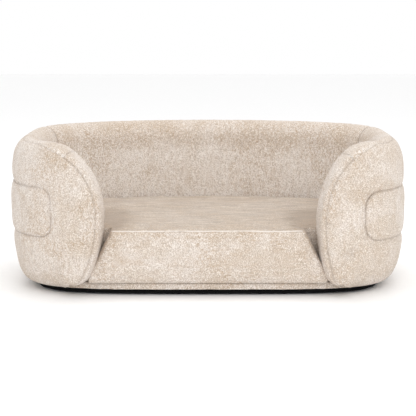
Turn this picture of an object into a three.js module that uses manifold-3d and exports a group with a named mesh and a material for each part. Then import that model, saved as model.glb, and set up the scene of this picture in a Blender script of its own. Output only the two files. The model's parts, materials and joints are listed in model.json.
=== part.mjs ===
// A small sofa-style dog bed: an oval upholstered wall with a low open front round a loose box cushion.
// Millimetres, +Z up. The origin is on the floor, under the middle of the bed; -Y is the open front.
import * as THREE from "three";
import { mergeVertices } from "three/addons/utils/BufferGeometryUtils.js";
import Module from "manifold-3d";

const wasm = await Module();
wasm.setup();

// ---- Driving dimensions ----
const WIDTH = 889; // over the side pads
const BACK_REACH = 290; // from the middle to the back of the wall
const FRONT_REACH = 295; // and to the front of the whole oval; the open front leaves the arms at 290
const BACK_HEIGHT = 336;
const SIDE_HEIGHT = 330;
const WALL = 70; // wall thickness at mid-height
const GAP = 0.3; // between touching pieces

// Plan outline: a rounded oval, squarer at the front than at the back.
const PAD_PROUD = 4;
const HALF_WIDTH = WIDTH / 2 - PAD_PROUD;
const FRONT_EXPONENT = 4.1;
const BACK_EXPONENT = 2.1;

// Arm ends: the rim falls in a quarter ellipse to the tip, then the edge runs back under in an arc.
const CURVE_START_X = 370;
const TIP_X = 228;
const TIP_Z = 175;
const UNDER_RADIUS = 300;
const BAND_TOP_X = 300; // where the boxing band meets the lining on the rim
const SQUARE_FOOT_X = 276; // in front of this the foot isn't rolled in
const ROLLED_FOOT_X = 330; // and behind this it is rolled in fully
const BAND_FOOT_CLEAR = 2; // the band's lower end stops this far above the deck
const BAND_TOP_CLEAR = 1.5; // and its upper end this far short of the lining over the rim
const LINING_LAP = 1; // the lining's front part runs this far into its part over the rim
const BAND_UNDER_STEPS = 6;
const BAND_OVER_STEPS = 8;

// Wall section: the outer face rolls in at the foot and over a soft crown.
const FOOT_ROLL_IN = 38;
const FOOT_ROLL_UP = 102;
const CROWN_IN = WALL / 2;
const CROWN_OUTER_DOWN = 68;
const CROWN_INNER_DOWN = 45;
const SQUARE_EDGE = 2.5; // crown radius where the boxing band covers the edge
const SEAM_TURN = 72; // degrees round the crown from the outer face, where cover meets lining

// Layers, as depths in from the outer face
const SKIN = 2;
const FOAM_DEPTH = SKIN + 0.8;
const END_FOAM_DEPTH = 4.5;
const PANEL_OUT = 44;
const PANEL_THICK = 9;
const PANEL_IN = PANEL_OUT + PANEL_THICK;
const PANEL_DROP = 46; // panel top below the rim
const PANEL_FRONT_X = 300;
const FOAM_LIP = 52; // how far the crown foam hangs over the inner foam sheet
const SPLIT_ANGLE = 17; // degrees from the side, where the back panel meets the side panels

// Base stack, bottom to top
const PAD_FOOT_TOP = 3;
const PLINTH_TOP = 14.7;
const BOARD_BOTTOM = 15;
const BOARD_TOP = 27;
const DECK_TOP = 28.8;
const PLINTH_INSET = 50;
const BOARD_INSET = 41;
const RAIL_INSET = 38.2;
const RAIL_HALF = 262;
const FOAM_BOTTOM = 27.6;
const LINING_BOTTOM = 29.3;

// Timber inside the wall
const CLEAT_HEIGHT = 18;
const BLOCK_OUT = 25; // splice blocks and end posts reach out to this depth
const BLOCK_WIDTH = 60;
const POST_WIDTH = 22;
const BLOCK_BOTTOM = 60;
const SPLICE_TOP = 262;
const POST_TOP = 225;

// Screws up through the board into the cleats
const SCREW_SHANK = 2;
const SCREW_HEAD = 4;
const SCREW_HEAD_HIGH = 2.6;
const SCREW_LENGTH = 26;
const SCREW_RIM_HIGH = 0.6; // the straight edge of the head
const SCREW_SUNK = 0.2; // the head's face lies this far inside the board
const SCREW_POINT = 5;
const SCREW_TIP = 0.3;
const SCREW_SIDES = 8;
const SCREW_ANGLES = [-38, -8, 60, 90]; // the right half's, mirrored to the left
const CUT_PAST = 1; // a cutting tool starts this far outside what it cuts

// Side pads, one stitched on each side
const PAD_LOW = 128;
const PAD_HIGH = 236;
const RIGHT_PAD_DROP = 9; // the right pad is stitched on this much lower
const PAD_FRONT_X = 336;
const PAD_CORNER = 28;
const PAD_END = 1; // the corner curve starts this far before the pad's end, so the end has some height

// Cushion
const CUSHION_BOTTOM = 29.3;
const CUSHION_TOP = 144;
const CUSHION_INSET = WALL + 3;
const TONGUE_HALF = 221;
const TONGUE_FRONT = -265;
const TONGUE_CORNER = 26;
const CUSHION_EDGE = 9; // rounding of its top and bottom edges
const COVER_THICK = 2;
const CORNER_STEPS = 4;
const SHOULDER_CLEAR = 12; // the outline leaves the wall this far before the tongue and the bowed edge
const ZIP_ARC_RADIUS = 640; // the cushion's rear edge bows on this radius
const ZIP_ARC_Y = 216; // its rearmost point
const ZIP_HALF_ANGLE = 18;
const BOW_HALF_ANGLE = ZIP_HALF_ANGLE + 2;
const BOW_STEPS = 4;
const ZIP_STEPS = 8;
const SLIDER_START = ZIP_HALF_ANGLE - 2; // the slider waits at the left end of the zip, looking from behind
const ZIP_Z = 86;
const ZIP_CHANNEL_HIGH = 30;
const ZIP_CHANNEL_DEEP = 8;
const TAPE_HIGH = 24;
const TAPE_THICK = 1.2;
const TAPE_END_GAP = 0.3; // degrees short of each end of the channel
const SLIDER_PROUD = 0.2; // the slider stands this much further out than its pull
const ZIP_CUT_PAST = 4; // how far behind the cushion the cutting tools for the zip start
const SLIDER = { wide: 11, high: 8, thick: 4 };
const PULL = { wide: 6, high: 13, thick: 1.6 };

// Feet: thin non-slip discs
const FOOT_RADIUS = 18;
const FOOT_X = 290;
const FOOT_Y = 150;
const FOOT_SIDES = 20;

// ---- Materials ----
const material = (color, roughness, metalness = 0) =>
  new THREE.MeshStandardMaterial({ color, roughness, metalness });
const CHENILLE = material(0xe0d3c2, 0.95);
const CUSHION_CLOTH = material(0xd8c8b2, 0.95);
const BLACK_CLOTH = material(0x17171a, 0.9);
const PLY = material(0xc9a877, 0.7);
const TIMBER = material(0xd2b488, 0.75);
const FOAM = material(0xf1e6b8, 0.9);
const RUBBER = material(0x1c1c1c, 0.85);
const STEEL = material(0xa8a8ac, 0.35, 1);
const ZIP_CLOTH = material(0xcdbfa9, 0.9);

const bed = new THREE.Group();
const cushion = new THREE.Group();
const add = (group, name, geometry, finish) => {
  const mesh = new THREE.Mesh(geometry, finish);
  mesh.name = name;
  group.add(mesh);
  return mesh;
};

// ---- Plan curve ----
const rad = THREE.MathUtils.degToRad;
const smooth = (t) => THREE.MathUtils.smoothstep(t, 0, 1);

// A point of the outer plan outline at a polar angle: 0 is the +X side, 90 degrees the back.
function planPoint(angle) {
  const frontness = smooth(0.5 - 0.5 * Math.sin(angle));
  const n = THREE.MathUtils.lerp(BACK_EXPONENT, FRONT_EXPONENT, frontness);
  const x = Math.abs(Math.cos(angle)) / HALF_WIDTH;
  const y = Math.abs(Math.sin(angle)) / (Math.sin(angle) < 0 ? FRONT_REACH : BACK_REACH);
  const radius = (x ** n + y ** n) ** (-1 / n);
  return new THREE.Vector2(radius * Math.cos(angle), radius * Math.sin(angle));
}

function planNormal(angle) {
  const step = 1e-4;
  const along = planPoint(angle + step).sub(planPoint(angle - step)).normalize();
  return new THREE.Vector2(along.y, -along.x);
}

function planAt(angle, inset, z) {
  const p = planPoint(angle).addScaledVector(planNormal(angle), -inset);
  return new THREE.Vector3(p.x, p.y, z);
}

// The angle in the right front quarter whose plan point lies at x.
function frontAngle(x) {
  let low = -Math.PI / 2;
  let high = 0;
  for (let i = 0; i < 40; i++) {
    const middle = (low + high) / 2;
    if (planPoint(middle).x < x) low = middle;
    else high = middle;
  }
  return (low + high) / 2;
}

function outlineLength(from, to) {
  const steps = 60;
  let length = 0;
  for (let i = 0; i < steps; i++) {
    const start = planPoint(THREE.MathUtils.lerp(from, to, i / steps));
    length += start.distanceTo(planPoint(THREE.MathUtils.lerp(from, to, (i + 1) / steps)));
  }
  return length;
}

// The angle that lies a length on along the outline.
function angleAlong(from, length) {
  let low = from;
  let high = from + Math.PI;
  for (let i = 0; i < 40; i++) {
    const middle = (low + high) / 2;
    if (outlineLength(from, middle) < length) low = middle;
    else high = middle;
  }
  return (low + high) / 2;
}

// ---- Wall heights ----
// The rim's height at a station, taken in from the edge by a depth.
function rimTop(angle, depth) {
  const p = planPoint(angle);
  if (p.y >= 0) {
    const back = smooth(p.y / BACK_REACH);
    return THREE.MathUtils.lerp(SIDE_HEIGHT, BACK_HEIGHT, back) - depth;
  }
  const x = Math.abs(p.x);
  if (x >= CURVE_START_X) return SIDE_HEIGHT - depth;
  const across = (CURVE_START_X - x) / (CURVE_START_X - TIP_X - depth);
  return TIP_Z + (SIDE_HEIGHT - TIP_Z - depth) * Math.sqrt(Math.max(0, 1 - across ** 2));
}

function wallFoot(angle, depth, lowest) {
  const p = planPoint(angle);
  const across = TIP_X + UNDER_RADIUS - Math.abs(p.x);
  const radius = UNDER_RADIUS - depth;
  if (p.y >= 0 || across < 0) return lowest;
  return Math.max(lowest, TIP_Z - Math.sqrt(Math.max(0, radius ** 2 - across ** 2)));
}

// How square an edge is: 1 on the arm end up to one distance from the middle, 0 past another.
function squareness(angle, fromX, toX) {
  const p = planPoint(angle);
  return p.y >= 0 ? 0 : 1 - smooth((Math.abs(p.x) - fromX) / (toX - fromX));
}

// The outer and inner faces of the wall at a depth, each as a list of (inset, z) points going up.
function wallFaces(angle, depth, lowest) {
  const top = rimTop(angle, depth);
  const foot = wallFoot(angle, depth, lowest);
  const height = top - foot;
  const square = squareness(angle, BAND_TOP_X, CURVE_START_X);
  const footSquare = squareness(angle, SQUARE_FOOT_X, ROLLED_FOOT_X);
  const mix = (soft) => THREE.MathUtils.lerp(soft, SQUARE_EDGE, square);
  const across = Math.max(0.5, mix(CROWN_IN) - depth);
  const rollUp = Math.min(FOOT_ROLL_UP, height / 2);
  const rollIn = ((1 - footSquare) * FOOT_ROLL_IN * rollUp) / FOOT_ROLL_UP;
  const outerDown = Math.min(mix(CROWN_OUTER_DOWN), height / 3);
  const innerDown = Math.min(mix(CROWN_INNER_DOWN), height / 3);
  const footPoint = (turn) =>
    new THREE.Vector2(
      depth + rollIn * (1 - Math.sin(turn)),
      foot + rollUp * (1 - Math.cos(turn)),
    );
  const crownPoint = (turn, inner) => {
    const inset = depth + across * (1 - Math.cos(turn));
    const z = top - (inner ? innerDown : outerDown) * (1 - Math.sin(turn));
    return new THREE.Vector2(inner ? WALL - inset : inset, z);
  };
  return { footPoint, crownPoint, foot, top };
}

// Turns round the rolled edges, shared by every layer so that the layers nest.
const SEAM_HALF = 1;
const FOOT_TURNS = [0, 30, 60, 90].map(rad);
const COVER_TURNS = [0, SEAM_TURN / 3, (SEAM_TURN * 2) / 3, SEAM_TURN - SEAM_HALF].map(rad);
const LINING_TURNS = [SEAM_TURN + SEAM_HALF, (SEAM_TURN + 90) / 2, 90].map(rad);
const INNER_TURNS = [60, 30, 0].map(rad);
const turnsBetween = (from, to, count) =>
  Array.from({ length: count + 1 }, (_, i) => rad(from + ((to - from) * i) / count));

// ---- Solids from sections ----
function orient(geometry) {
  const position = geometry.getAttribute("position");
  const index = geometry.index.array;
  const [a, b, c] = [0, 1, 2].map(() => new THREE.Vector3());
  let volume = 0;
  for (let i = 0; i < index.length; i += 3) {
    a.fromBufferAttribute(position, index[i]);
    b.fromBufferAttribute(position, index[i + 1]);
    c.fromBufferAttribute(position, index[i + 2]);
    volume += a.dot(b.cross(c));
  }
  if (volume < 0) geometry.setIndex([...index].reverse());
  return geometry;
}

// Closed loops of equal length, joined along their length and capped at both ends with flat triangles.
// Each four-sided face is split on its shorter diagonal, so nested layers split alike.
function loftLoops(loops, capTriangles) {
  const n = loops[0].length;
  const index = [];
  for (let k = 0; k + 1 < loops.length; k++) {
    for (let j = 0; j < n; j++) {
      const next = (j + 1) % n;
      const [a, b] = [k * n + j, k * n + next];
      const rising = loops[k][j].distanceTo(loops[k + 1][next]);
      const falling = loops[k][next].distanceTo(loops[k + 1][j]);
      if (rising <= falling) index.push(a, b, b + n, a, b + n, a + n);
      else index.push(a, b, a + n, b, b + n, a + n);
    }
  }
  const last = (loops.length - 1) * n;
  capTriangles(0).forEach(([a, b, c]) => index.push(c, b, a));
  capTriangles(loops.length - 1).forEach(([a, b, c]) => index.push(a + last, b + last, c + last));
  const geometry = new THREE.BufferGeometry().setFromPoints(loops.flat());
  geometry.setIndex(index);
  return orient(geometry);
}

function flatTriangles(outline) {
  const facing = Math.sign(THREE.ShapeUtils.area(outline));
  return THREE.ShapeUtils.triangulateShape(outline, []).map(([a, b, c]) => {
    const turn = THREE.ShapeUtils.area([outline[a], outline[b], outline[c]]);
    return Math.sign(turn) === facing ? [a, b, c] : [c, b, a];
  });
}

// A solid swept along the plan outline, with its (inset, z) section at each angle.
function sweep(angles, section) {
  const sections = angles.map(section);
  const loops = sections.map((s, k) => s.map((p) => planAt(angles[k], p.x, p.y)));
  return loftLoops(loops, (k) => flatTriangles(sections[k]));
}

const box2 = (inLow, inHigh, zLow, zHigh) => [
  new THREE.Vector2(inLow, zLow),
  new THREE.Vector2(inHigh, zLow),
  new THREE.Vector2(inHigh, zHigh),
  new THREE.Vector2(inLow, zHigh),
];

function mirrored(geometry) {
  return orient(geometry.clone().scale(-1, 1, 1));
}

// ---- Cutting and joining ----
function solidOf(geometry) {
  const bare = geometry.clone();
  bare.deleteAttribute("normal");
  bare.deleteAttribute("uv");
  const merged = mergeVertices(bare, 1e-4);
  const vertProperties = new Float32Array(merged.getAttribute("position").array);
  const triVerts = new Uint32Array(merged.index.array);
  return new wasm.Manifold(new wasm.Mesh({ numProp: 3, vertProperties, triVerts }));
}

function geometryOf(solid) {
  const mesh = solid.getMesh();
  const position = new THREE.BufferAttribute(new Float32Array(mesh.vertProperties), 3);
  const geometry = new THREE.BufferGeometry().setAttribute("position", position);
  return geometry.setIndex(new THREE.BufferAttribute(new Uint32Array(mesh.triVerts), 1));
}

const cutFrom = (geometry, tools) =>
  geometryOf(tools.reduce((left, tool) => left.subtract(solidOf(tool)), solidOf(geometry)));
const joined = (a, b) => geometryOf(solidOf(a).add(solidOf(b)));

// ---- Stations ----
// Every layer is swept through the same stations, so that the layers nest. The stations hold each
// place where a piece starts or ends, on the right half, and are close together where the arm end turns.
const MIDDLE = Math.PI / 2;
const BACK_START = rad(SPLIT_ANGLE);
const STEP = 50;
const TIP_STEPS = [1, 3.6, 8, 18, 38];
const PAD_STEPS = [0, 8, PAD_CORNER];
const padFront = frontAngle(PAD_FRONT_X);
const padLength = 2 * outlineLength(padFront, 0);
const blockHalf = BLOCK_WIDTH / 2 / HALF_WIDTH;
const keyAngles = [
  -MIDDLE,
  ...TIP_STEPS.map((step) => frontAngle(TIP_X + step)),
  ...[PANEL_FRONT_X, PANEL_FRONT_X + POST_WIDTH, CURVE_START_X].map(frontAngle),
  ...PAD_STEPS.map((step) => angleAlong(padFront, step)),
  ...PAD_STEPS.map((step) => angleAlong(padFront, padLength - step)),
  ...[BACK_START - blockHalf, BACK_START, BACK_START + blockHalf, MIDDLE],
].sort((one, other) => one - other);

const rightHalf = keyAngles.flatMap((from, i) => {
  if (i + 1 === keyAngles.length) return [from];
  const to = keyAngles[i + 1];
  const count = Math.max(1, Math.round(outlineLength(from, to) / STEP));
  return Array.from({ length: count }, (_, k) => THREE.MathUtils.lerp(from, to, k / count));
});
const leftHalf = rightHalf
  .slice(1, -1)
  .reverse()
  .map((angle) => Math.PI - angle);
const wholeRound = [...rightHalf, ...leftHalf];

// The stations between two angles, with the two angles as its ends.
function between(from, to) {
  const close = 1e-4;
  const inside = wholeRound.filter((angle) => angle > from + close && angle < to - close);
  return [from, ...inside, to];
}

const backGap = GAP / HALF_WIDTH;
const backAngles = between(BACK_START + backGap, Math.PI - BACK_START - backGap);
const sideAngles = (fromX) => between(frontAngle(fromX), BACK_START - backGap);

// ---- Base ----
function planShape(inset) {
  const points = wholeRound.map((angle) => planAt(angle, inset, 0));
  return new THREE.Shape(points.map((p) => new THREE.Vector2(p.x, p.y)));
}

function slab(shape, low, high) {
  return new THREE.ExtrudeGeometry(shape, { depth: high - low, bevelEnabled: false }).translate(0, 0, low);
}

const cleatMiddle = (PANEL_IN + WALL - SKIN) / 2;
const screwSpots = SCREW_ANGLES.flatMap((degrees) => {
  const p = planAt(rad(degrees), cleatMiddle, 0);
  return degrees === 90 ? [p] : [p, new THREE.Vector3(-p.x, p.y, 0)];
});

function screw(clearance) {
  const head = SCREW_HEAD + clearance;
  const shank = SCREW_SHANK + clearance;
  const bottom = clearance ? -CUT_PAST : SCREW_SUNK;
  const profile = [
    [0, bottom],
    [head, bottom],
    [head, SCREW_RIM_HIGH],
    [shank, SCREW_HEAD_HIGH],
    [shank, SCREW_LENGTH - SCREW_POINT],
    [SCREW_TIP + clearance, SCREW_LENGTH + clearance],
    [0, SCREW_LENGTH + clearance],
  ].map(([x, y]) => new THREE.Vector2(x, y));
  const turned = new THREE.LatheGeometry(profile, SCREW_SIDES);
  return turned.rotateX(Math.PI / 2).translate(0, 0, BOARD_BOTTOM);
}

const screwHoles = screwSpots.map((p) => screw(GAP).translate(p.x, p.y, 0));

function makeBase() {
  const foot = new THREE.CylinderGeometry(FOOT_RADIUS, FOOT_RADIUS, PAD_FOOT_TOP, FOOT_SIDES);
  foot.rotateX(Math.PI / 2);
  let number = 1;
  for (const x of [-FOOT_X, 0, FOOT_X]) {
    for (const y of [-FOOT_Y, FOOT_Y]) {
      const mesh = add(bed, `non_slip_foot_${number++}`, foot, RUBBER);
      mesh.position.set(x, y, PAD_FOOT_TOP / 2);
    }
  }
  add(bed, "plinth_board", slab(planShape(PLINTH_INSET), PAD_FOOT_TOP + GAP, PLINTH_TOP), BLACK_CLOTH);
  add(bed, "base_board", cutFrom(slab(planShape(BOARD_INSET), BOARD_BOTTOM, BOARD_TOP), screwHoles), PLY);
  add(bed, "seat_deck_cloth", slab(planShape(WALL + GAP), BOARD_TOP + GAP, DECK_TOP), BLACK_CLOTH);
  const railRight = between(-MIDDLE, frontAngle(RAIL_HALF));
  const railLeft = [...railRight].slice(1).reverse().map((angle) => -Math.PI - angle);
  const railAngles = [...railLeft, ...railRight];
  const railSection = () => box2(RAIL_INSET, BOARD_INSET - GAP, BOARD_BOTTOM, DECK_TOP);
  add(bed, "front_rail_cover", sweep(railAngles, railSection), CHENILLE);
  screwSpots.forEach((p, i) => {
    add(bed, `cleat_screw_${i + 1}`, screw(0), STEEL).position.set(p.x, p.y, 0);
  });
}

// ---- Wall pieces; the right-hand ones are mirrored to the left ----
const addPair = (name, geometry, finish) => {
  add(bed, `${name}_right`, geometry, finish);
  add(bed, `${name}_left`, mirrored(geometry), finish);
};

const cleatSection = () => box2(PANEL_IN + GAP, WALL - SKIN - GAP, BOARD_TOP + GAP, BOARD_TOP + CLEAT_HEIGHT);
const panelSection = (angle) =>
  box2(PANEL_OUT, PANEL_IN, BOARD_TOP + GAP, rimTop(angle, PANEL_DROP));

function makeTimber() {
  const cleatRight = sweep(sideAngles(PANEL_FRONT_X), cleatSection);
  const cleatBack = sweep(backAngles, cleatSection);
  addPair("cleat", cutFrom(cleatRight, screwHoles), TIMBER);
  add(bed, "cleat_back", cutFrom(cleatBack, screwHoles), TIMBER);
  addPair("side_panel", sweep(sideAngles(PANEL_FRONT_X), panelSection), PLY);
  add(bed, "back_panel", sweep(backAngles, panelSection), PLY);
  addPair("splice_block", spliceBlock(0), TIMBER);
  addPair("end_post", endPost(0), TIMBER);
}

// A block that joins two panels, or stiffens a panel's end, on the panel's outer side.
function block(from, to, top, clearance) {
  const grow = clearance / BACK_REACH;
  const outline = () =>
    box2(BLOCK_OUT - clearance, PANEL_OUT - GAP + clearance, BLOCK_BOTTOM - clearance, top + clearance);
  return sweep(between(from - grow, to + grow), outline);
}
const spliceBlock = (clearance) =>
  block(BACK_START - blockHalf, BACK_START + blockHalf, SPLICE_TOP, clearance);
const endPost = (clearance) =>
  block(frontAngle(PANEL_FRONT_X), frontAngle(PANEL_FRONT_X + POST_WIDTH), POST_TOP, clearance);

// A rising line of (inset, z) points, cut off below a height.
function above(points, z) {
  const first = points.findIndex((p) => p.y > z);
  if (first < 1) return points;
  const [low, high] = [points[first - 1], points[first]];
  const cut = low.clone().lerp(high, (z - low.y) / (high.y - low.y));
  return [cut, ...points.slice(first)];
}

// Foam over the outer side and the crown, hanging over the panel's top edge.
function outerFoamSection(angle) {
  const { crownPoint, top } = wallFaces(angle, FOAM_DEPTH, BOARD_BOTTOM + FOAM_DEPTH);
  const panelTop = rimTop(angle, PANEL_DROP) + GAP;
  const lip = top - FOAM_LIP;
  return [
    ...above(footToCrown(angle, FOAM_DEPTH, [...COVER_TURNS, ...LINING_TURNS]), FOAM_BOTTOM),
    ...INNER_TURNS.map((turn) => crownPoint(turn, true)),
    new THREE.Vector2(WALL - FOAM_DEPTH, lip),
    new THREE.Vector2(PANEL_IN + GAP, lip),
    new THREE.Vector2(PANEL_IN + GAP, panelTop),
    new THREE.Vector2(PANEL_OUT - GAP, panelTop),
    new THREE.Vector2(PANEL_OUT - GAP, FOAM_BOTTOM),
  ];
}

// The outer face at a depth, from its foot up round the crown through the given turns.
function footToCrown(angle, depth, crownTurns) {
  const { footPoint, crownPoint } = wallFaces(angle, depth, BOARD_BOTTOM + depth);
  return [...FOOT_TURNS.map(footPoint), ...crownTurns.map((turn) => crownPoint(turn, false))];
}

function innerFoamSection(angle) {
  const lip = rimTop(angle, FOAM_DEPTH) - FOAM_LIP - GAP;
  return box2(PANEL_IN + GAP, WALL - FOAM_DEPTH, BOARD_TOP + CLEAT_HEIGHT + GAP, lip);
}

// The solid foam block that fills the arm end, in front of the panel.
function endFoamSection(angle) {
  const { footPoint, crownPoint, foot } = wallFaces(angle, END_FOAM_DEPTH, FOAM_BOTTOM);
  return [
    ...FOOT_TURNS.map(footPoint),
    ...[...COVER_TURNS, ...LINING_TURNS].map((turn) => crownPoint(turn, false)),
    ...[rad(90), ...INNER_TURNS].map((turn) => crownPoint(turn, true)),
    new THREE.Vector2(WALL - END_FOAM_DEPTH, foot),
  ];
}

function makeFoam() {
  const pockets = [spliceBlock(GAP), endPost(GAP)];
  addPair("outer_foam", cutFrom(sweep(sideAngles(PANEL_FRONT_X), outerFoamSection), pockets), FOAM);
  const bothSplices = [spliceBlock(GAP), mirrored(spliceBlock(GAP))];
  add(bed, "outer_foam_back", cutFrom(sweep(backAngles, outerFoamSection), bothSplices), FOAM);
  addPair("inner_foam", sweep(sideAngles(PANEL_FRONT_X), innerFoamSection), FOAM);
  add(bed, "inner_foam_back", sweep(backAngles, innerFoamSection), FOAM);
  const endAngles = between(frontAngle(TIP_X + TIP_STEPS[2]), frontAngle(PANEL_FRONT_X - GAP));
  addPair("arm_end_foam", sweep(endAngles, endFoamSection), FOAM);
}

function outerCoverSection(angle) {
  return [
    ...footToCrown(angle, 0, COVER_TURNS),
    ...footToCrown(angle, SKIN, COVER_TURNS).reverse(),
  ];
}

// The lining: over the crown and down the inner face.
function liningSection(angle) {
  const face = (depth) => {
    const { crownPoint } = wallFaces(angle, depth, LINING_BOTTOM);
    return [
      ...LINING_TURNS.map((turn) => crownPoint(turn, false)),
      ...INNER_TURNS.map((turn) => crownPoint(turn, true)),
      new THREE.Vector2(WALL - depth, LINING_BOTTOM),
    ];
  };
  return [...face(0), ...face(SKIN).reverse()];
}

// In front of the band's top end the lining is only on the inner face.
function liningFrontSection(angle) {
  const { top } = wallFaces(angle, 0, LINING_BOTTOM);
  const foot = wallFoot(angle, 0, LINING_BOTTOM);
  return box2(WALL - SKIN, WALL, foot, top);
}

// The boxing band: a strip right round the arm's end edge.
function endBand() {
  const strip = [];
  const inner = SKIN + 2 * GAP;
  const place = (x, z, inset) => planAt(frontAngle(x), inset, z);
  const cross = (outer, deep) => [
    place(outer[0], outer[1], inner),
    place(outer[0], outer[1], WALL - inner),
    place(deep[0], deep[1], WALL - inner),
    place(deep[0], deep[1], inner),
  ];
  const under = (turn, depth) => {
    const radius = UNDER_RADIUS - depth;
    return [TIP_X + UNDER_RADIUS - radius * Math.cos(turn), TIP_Z - radius * Math.sin(turn)];
  };
  const over = (turn, depth) => [
    CURVE_START_X - (CURVE_START_X - TIP_X - depth) * Math.cos(turn),
    TIP_Z + (SIDE_HEIGHT - TIP_Z - depth) * Math.sin(turn),
  ];
  const lowest = Math.asin((TIP_Z - DECK_TOP - BAND_FOOT_CLEAR) / UNDER_RADIUS);
  for (let i = BAND_UNDER_STEPS; i > 0; i--) {
    const turn = (lowest * i) / BAND_UNDER_STEPS;
    strip.push(cross(under(turn, 0), under(turn, SKIN)));
  }
  const topEnd = BAND_TOP_X - BAND_TOP_CLEAR;
  const highest = Math.acos((CURVE_START_X - topEnd) / (CURVE_START_X - TIP_X));
  for (let i = 0; i <= BAND_OVER_STEPS; i++) {
    const turn = (highest * i) / BAND_OVER_STEPS;
    strip.push(cross(over(turn, 0), over(turn, SKIN)));
  }
  return loftLoops(strip, () => [[0, 1, 2], [0, 2, 3]]);
}

function makeCovers() {
  const armTip = frontAngle(TIP_X + TIP_STEPS[0]);
  add(bed, "outer_cover", sweep(between(armTip, Math.PI - armTip), outerCoverSection), CHENILLE);
  add(bed, "lining_back", sweep(backAngles, liningSection), CHENILLE);
  const overRim = sweep(sideAngles(BAND_TOP_X), liningSection);
  const frontAngles = between(armTip, frontAngle(BAND_TOP_X + LINING_LAP));
  addPair("lining", joined(overRim, sweep(frontAngles, liningFrontSection)), CHENILLE);
  addPair("end_band", endBand(), CHENILLE);
}

// A pad with rounded corners, stitched to the outer face and wrapping round the side.
function makeSidePads() {
  const padRear = angleAlong(padFront, padLength);
  const section = (drop) => (angle) => {
    const fromEnd = Math.min(outlineLength(padFront, angle), outlineLength(angle, padRear));
    const run = Math.min(1, (fromEnd + PAD_END) / PAD_CORNER);
    const cut = PAD_CORNER * (1 - Math.sqrt(1 - (1 - run) ** 2));
    return box2(-PAD_PROUD, -GAP, PAD_LOW - drop + cut, PAD_HIGH - drop - cut);
  };
  const pad = (drop) => sweep(between(padFront, padRear), section(drop));
  add(bed, "side_pad_right", pad(RIGHT_PAD_DROP), CHENILLE);
  add(bed, "side_pad_left", mirrored(pad(0)), CHENILLE);
}

// ---- Cushion ----
const ZIP_CENTRE_Y = ZIP_ARC_Y - ZIP_ARC_RADIUS;
const onZipArc = (degrees, inset) => {
  const radius = ZIP_ARC_RADIUS - inset;
  return new THREE.Vector2(radius * Math.sin(rad(degrees)), ZIP_CENTRE_Y + radius * Math.cos(rad(degrees)));
};

// The angles at which the cushion's outline follows the wall, behind the tongue and beside the zip.
const sideOfCushion = rightHalf.filter((angle) => {
  const p = planAt(angle, CUSHION_INSET, 0);
  const behindTongue = p.y > 0 || p.x > TONGUE_HALF + SHOULDER_CLEAR;
  const besideZip = p.y < 0 || p.x > onZipArc(BOW_HALF_ANGLE, 0).x + SHOULDER_CLEAR;
  return behindTongue && besideZip;
});

// Half of the cushion's outline, from the middle of the front to the middle of the back.
function cushionHalf(shrink) {
  const front = TONGUE_FRONT + shrink;
  const halfTongue = TONGUE_HALF - shrink;
  const corner = (turn) =>
    new THREE.Vector2(
      halfTongue - TONGUE_CORNER * (1 - Math.cos(turn)),
      front + TONGUE_CORNER * (1 + Math.sin(turn)),
    );
  const side = sideOfCushion.map((angle) => planAt(angle, CUSHION_INSET + shrink, 0));
  const bow = Array.from({ length: BOW_STEPS + 1 }, (_, i) =>
    onZipArc(BOW_HALF_ANGLE * (1 - i / BOW_STEPS), shrink),
  );
  return [
    new THREE.Vector2(0, front),
    ...turnsBetween(-90, 0, CORNER_STEPS).map(corner),
    new THREE.Vector2(halfTongue, side[0].y),
    ...side.map((p) => new THREE.Vector2(p.x, p.y)),
    ...bow,
  ];
}

function cushionSlice(shrink) {
  const half = cushionHalf(shrink);
  const other = half
    .slice(1, -1)
    .reverse()
    .map((p) => new THREE.Vector2(-p.x, p.y));
  return [...half, ...other];
}

// The cushion's solid, with its top and bottom edges rounded, taken in by a depth.
function cushionSolid(depth) {
  const edge = CUSHION_EDGE;
  const levels = [
    [CUSHION_BOTTOM + depth, edge],
    [CUSHION_BOTTOM + depth + edge, 0],
    [CUSHION_TOP - depth - edge, 0],
    [CUSHION_TOP - depth, edge],
  ];
  const outlines = levels.map(([, shrink]) => cushionSlice(depth + shrink));
  const loops = outlines.map((outline, k) => outline.map((p) => new THREE.Vector3(p.x, p.y, levels[k][0])));
  return loftLoops(loops, (k) => flatTriangles(outlines[k]));
}

// A bar that follows the zip's arc: between two depths in from the rear edge, and two heights.
function zipBar(halfAngle, outer, inner, low, high) {
  const arc = Array.from({ length: ZIP_STEPS + 1 }, (_, i) =>
    THREE.MathUtils.lerp(-halfAngle, halfAngle, i / ZIP_STEPS),
  );
  const shape = new THREE.Shape([
    ...arc.map((a) => onZipArc(a, outer)),
    ...arc.reverse().map((a) => onZipArc(a, inner)),
  ]);
  return slab(shape, low, high);
}

function makeCushion() {
  const half = ZIP_CHANNEL_HIGH / 2;
  const [low, high] = [ZIP_Z - half, ZIP_Z + half];
  const slit = zipBar(ZIP_HALF_ANGLE, -ZIP_CUT_PAST, 2 * CUSHION_EDGE, low, high);
  const shell = solidOf(cushionSolid(0)).subtract(solidOf(cushionSolid(COVER_THICK)));
  add(cushion, "cushion_cover", geometryOf(shell.subtract(solidOf(slit))), CUSHION_CLOTH);
  const channelFloor = ZIP_CHANNEL_DEEP + TAPE_THICK + GAP;
  const channel = zipBar(ZIP_HALF_ANGLE, -ZIP_CUT_PAST, channelFloor, low, high);
  add(cushion, "cushion_foam", cutFrom(cushionSolid(COVER_THICK + GAP), [channel]), FOAM);
  const tapeHalf = TAPE_HIGH / 2;
  const tapeBack = ZIP_CHANNEL_DEEP + TAPE_THICK;
  const tapeAngle = ZIP_HALF_ANGLE - TAPE_END_GAP;
  const tape = zipBar(tapeAngle, ZIP_CHANNEL_DEEP, tapeBack, ZIP_Z - tapeHalf, ZIP_Z + tapeHalf);
  add(cushion, "zip_tape", tape, ZIP_CLOTH);
}

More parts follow.
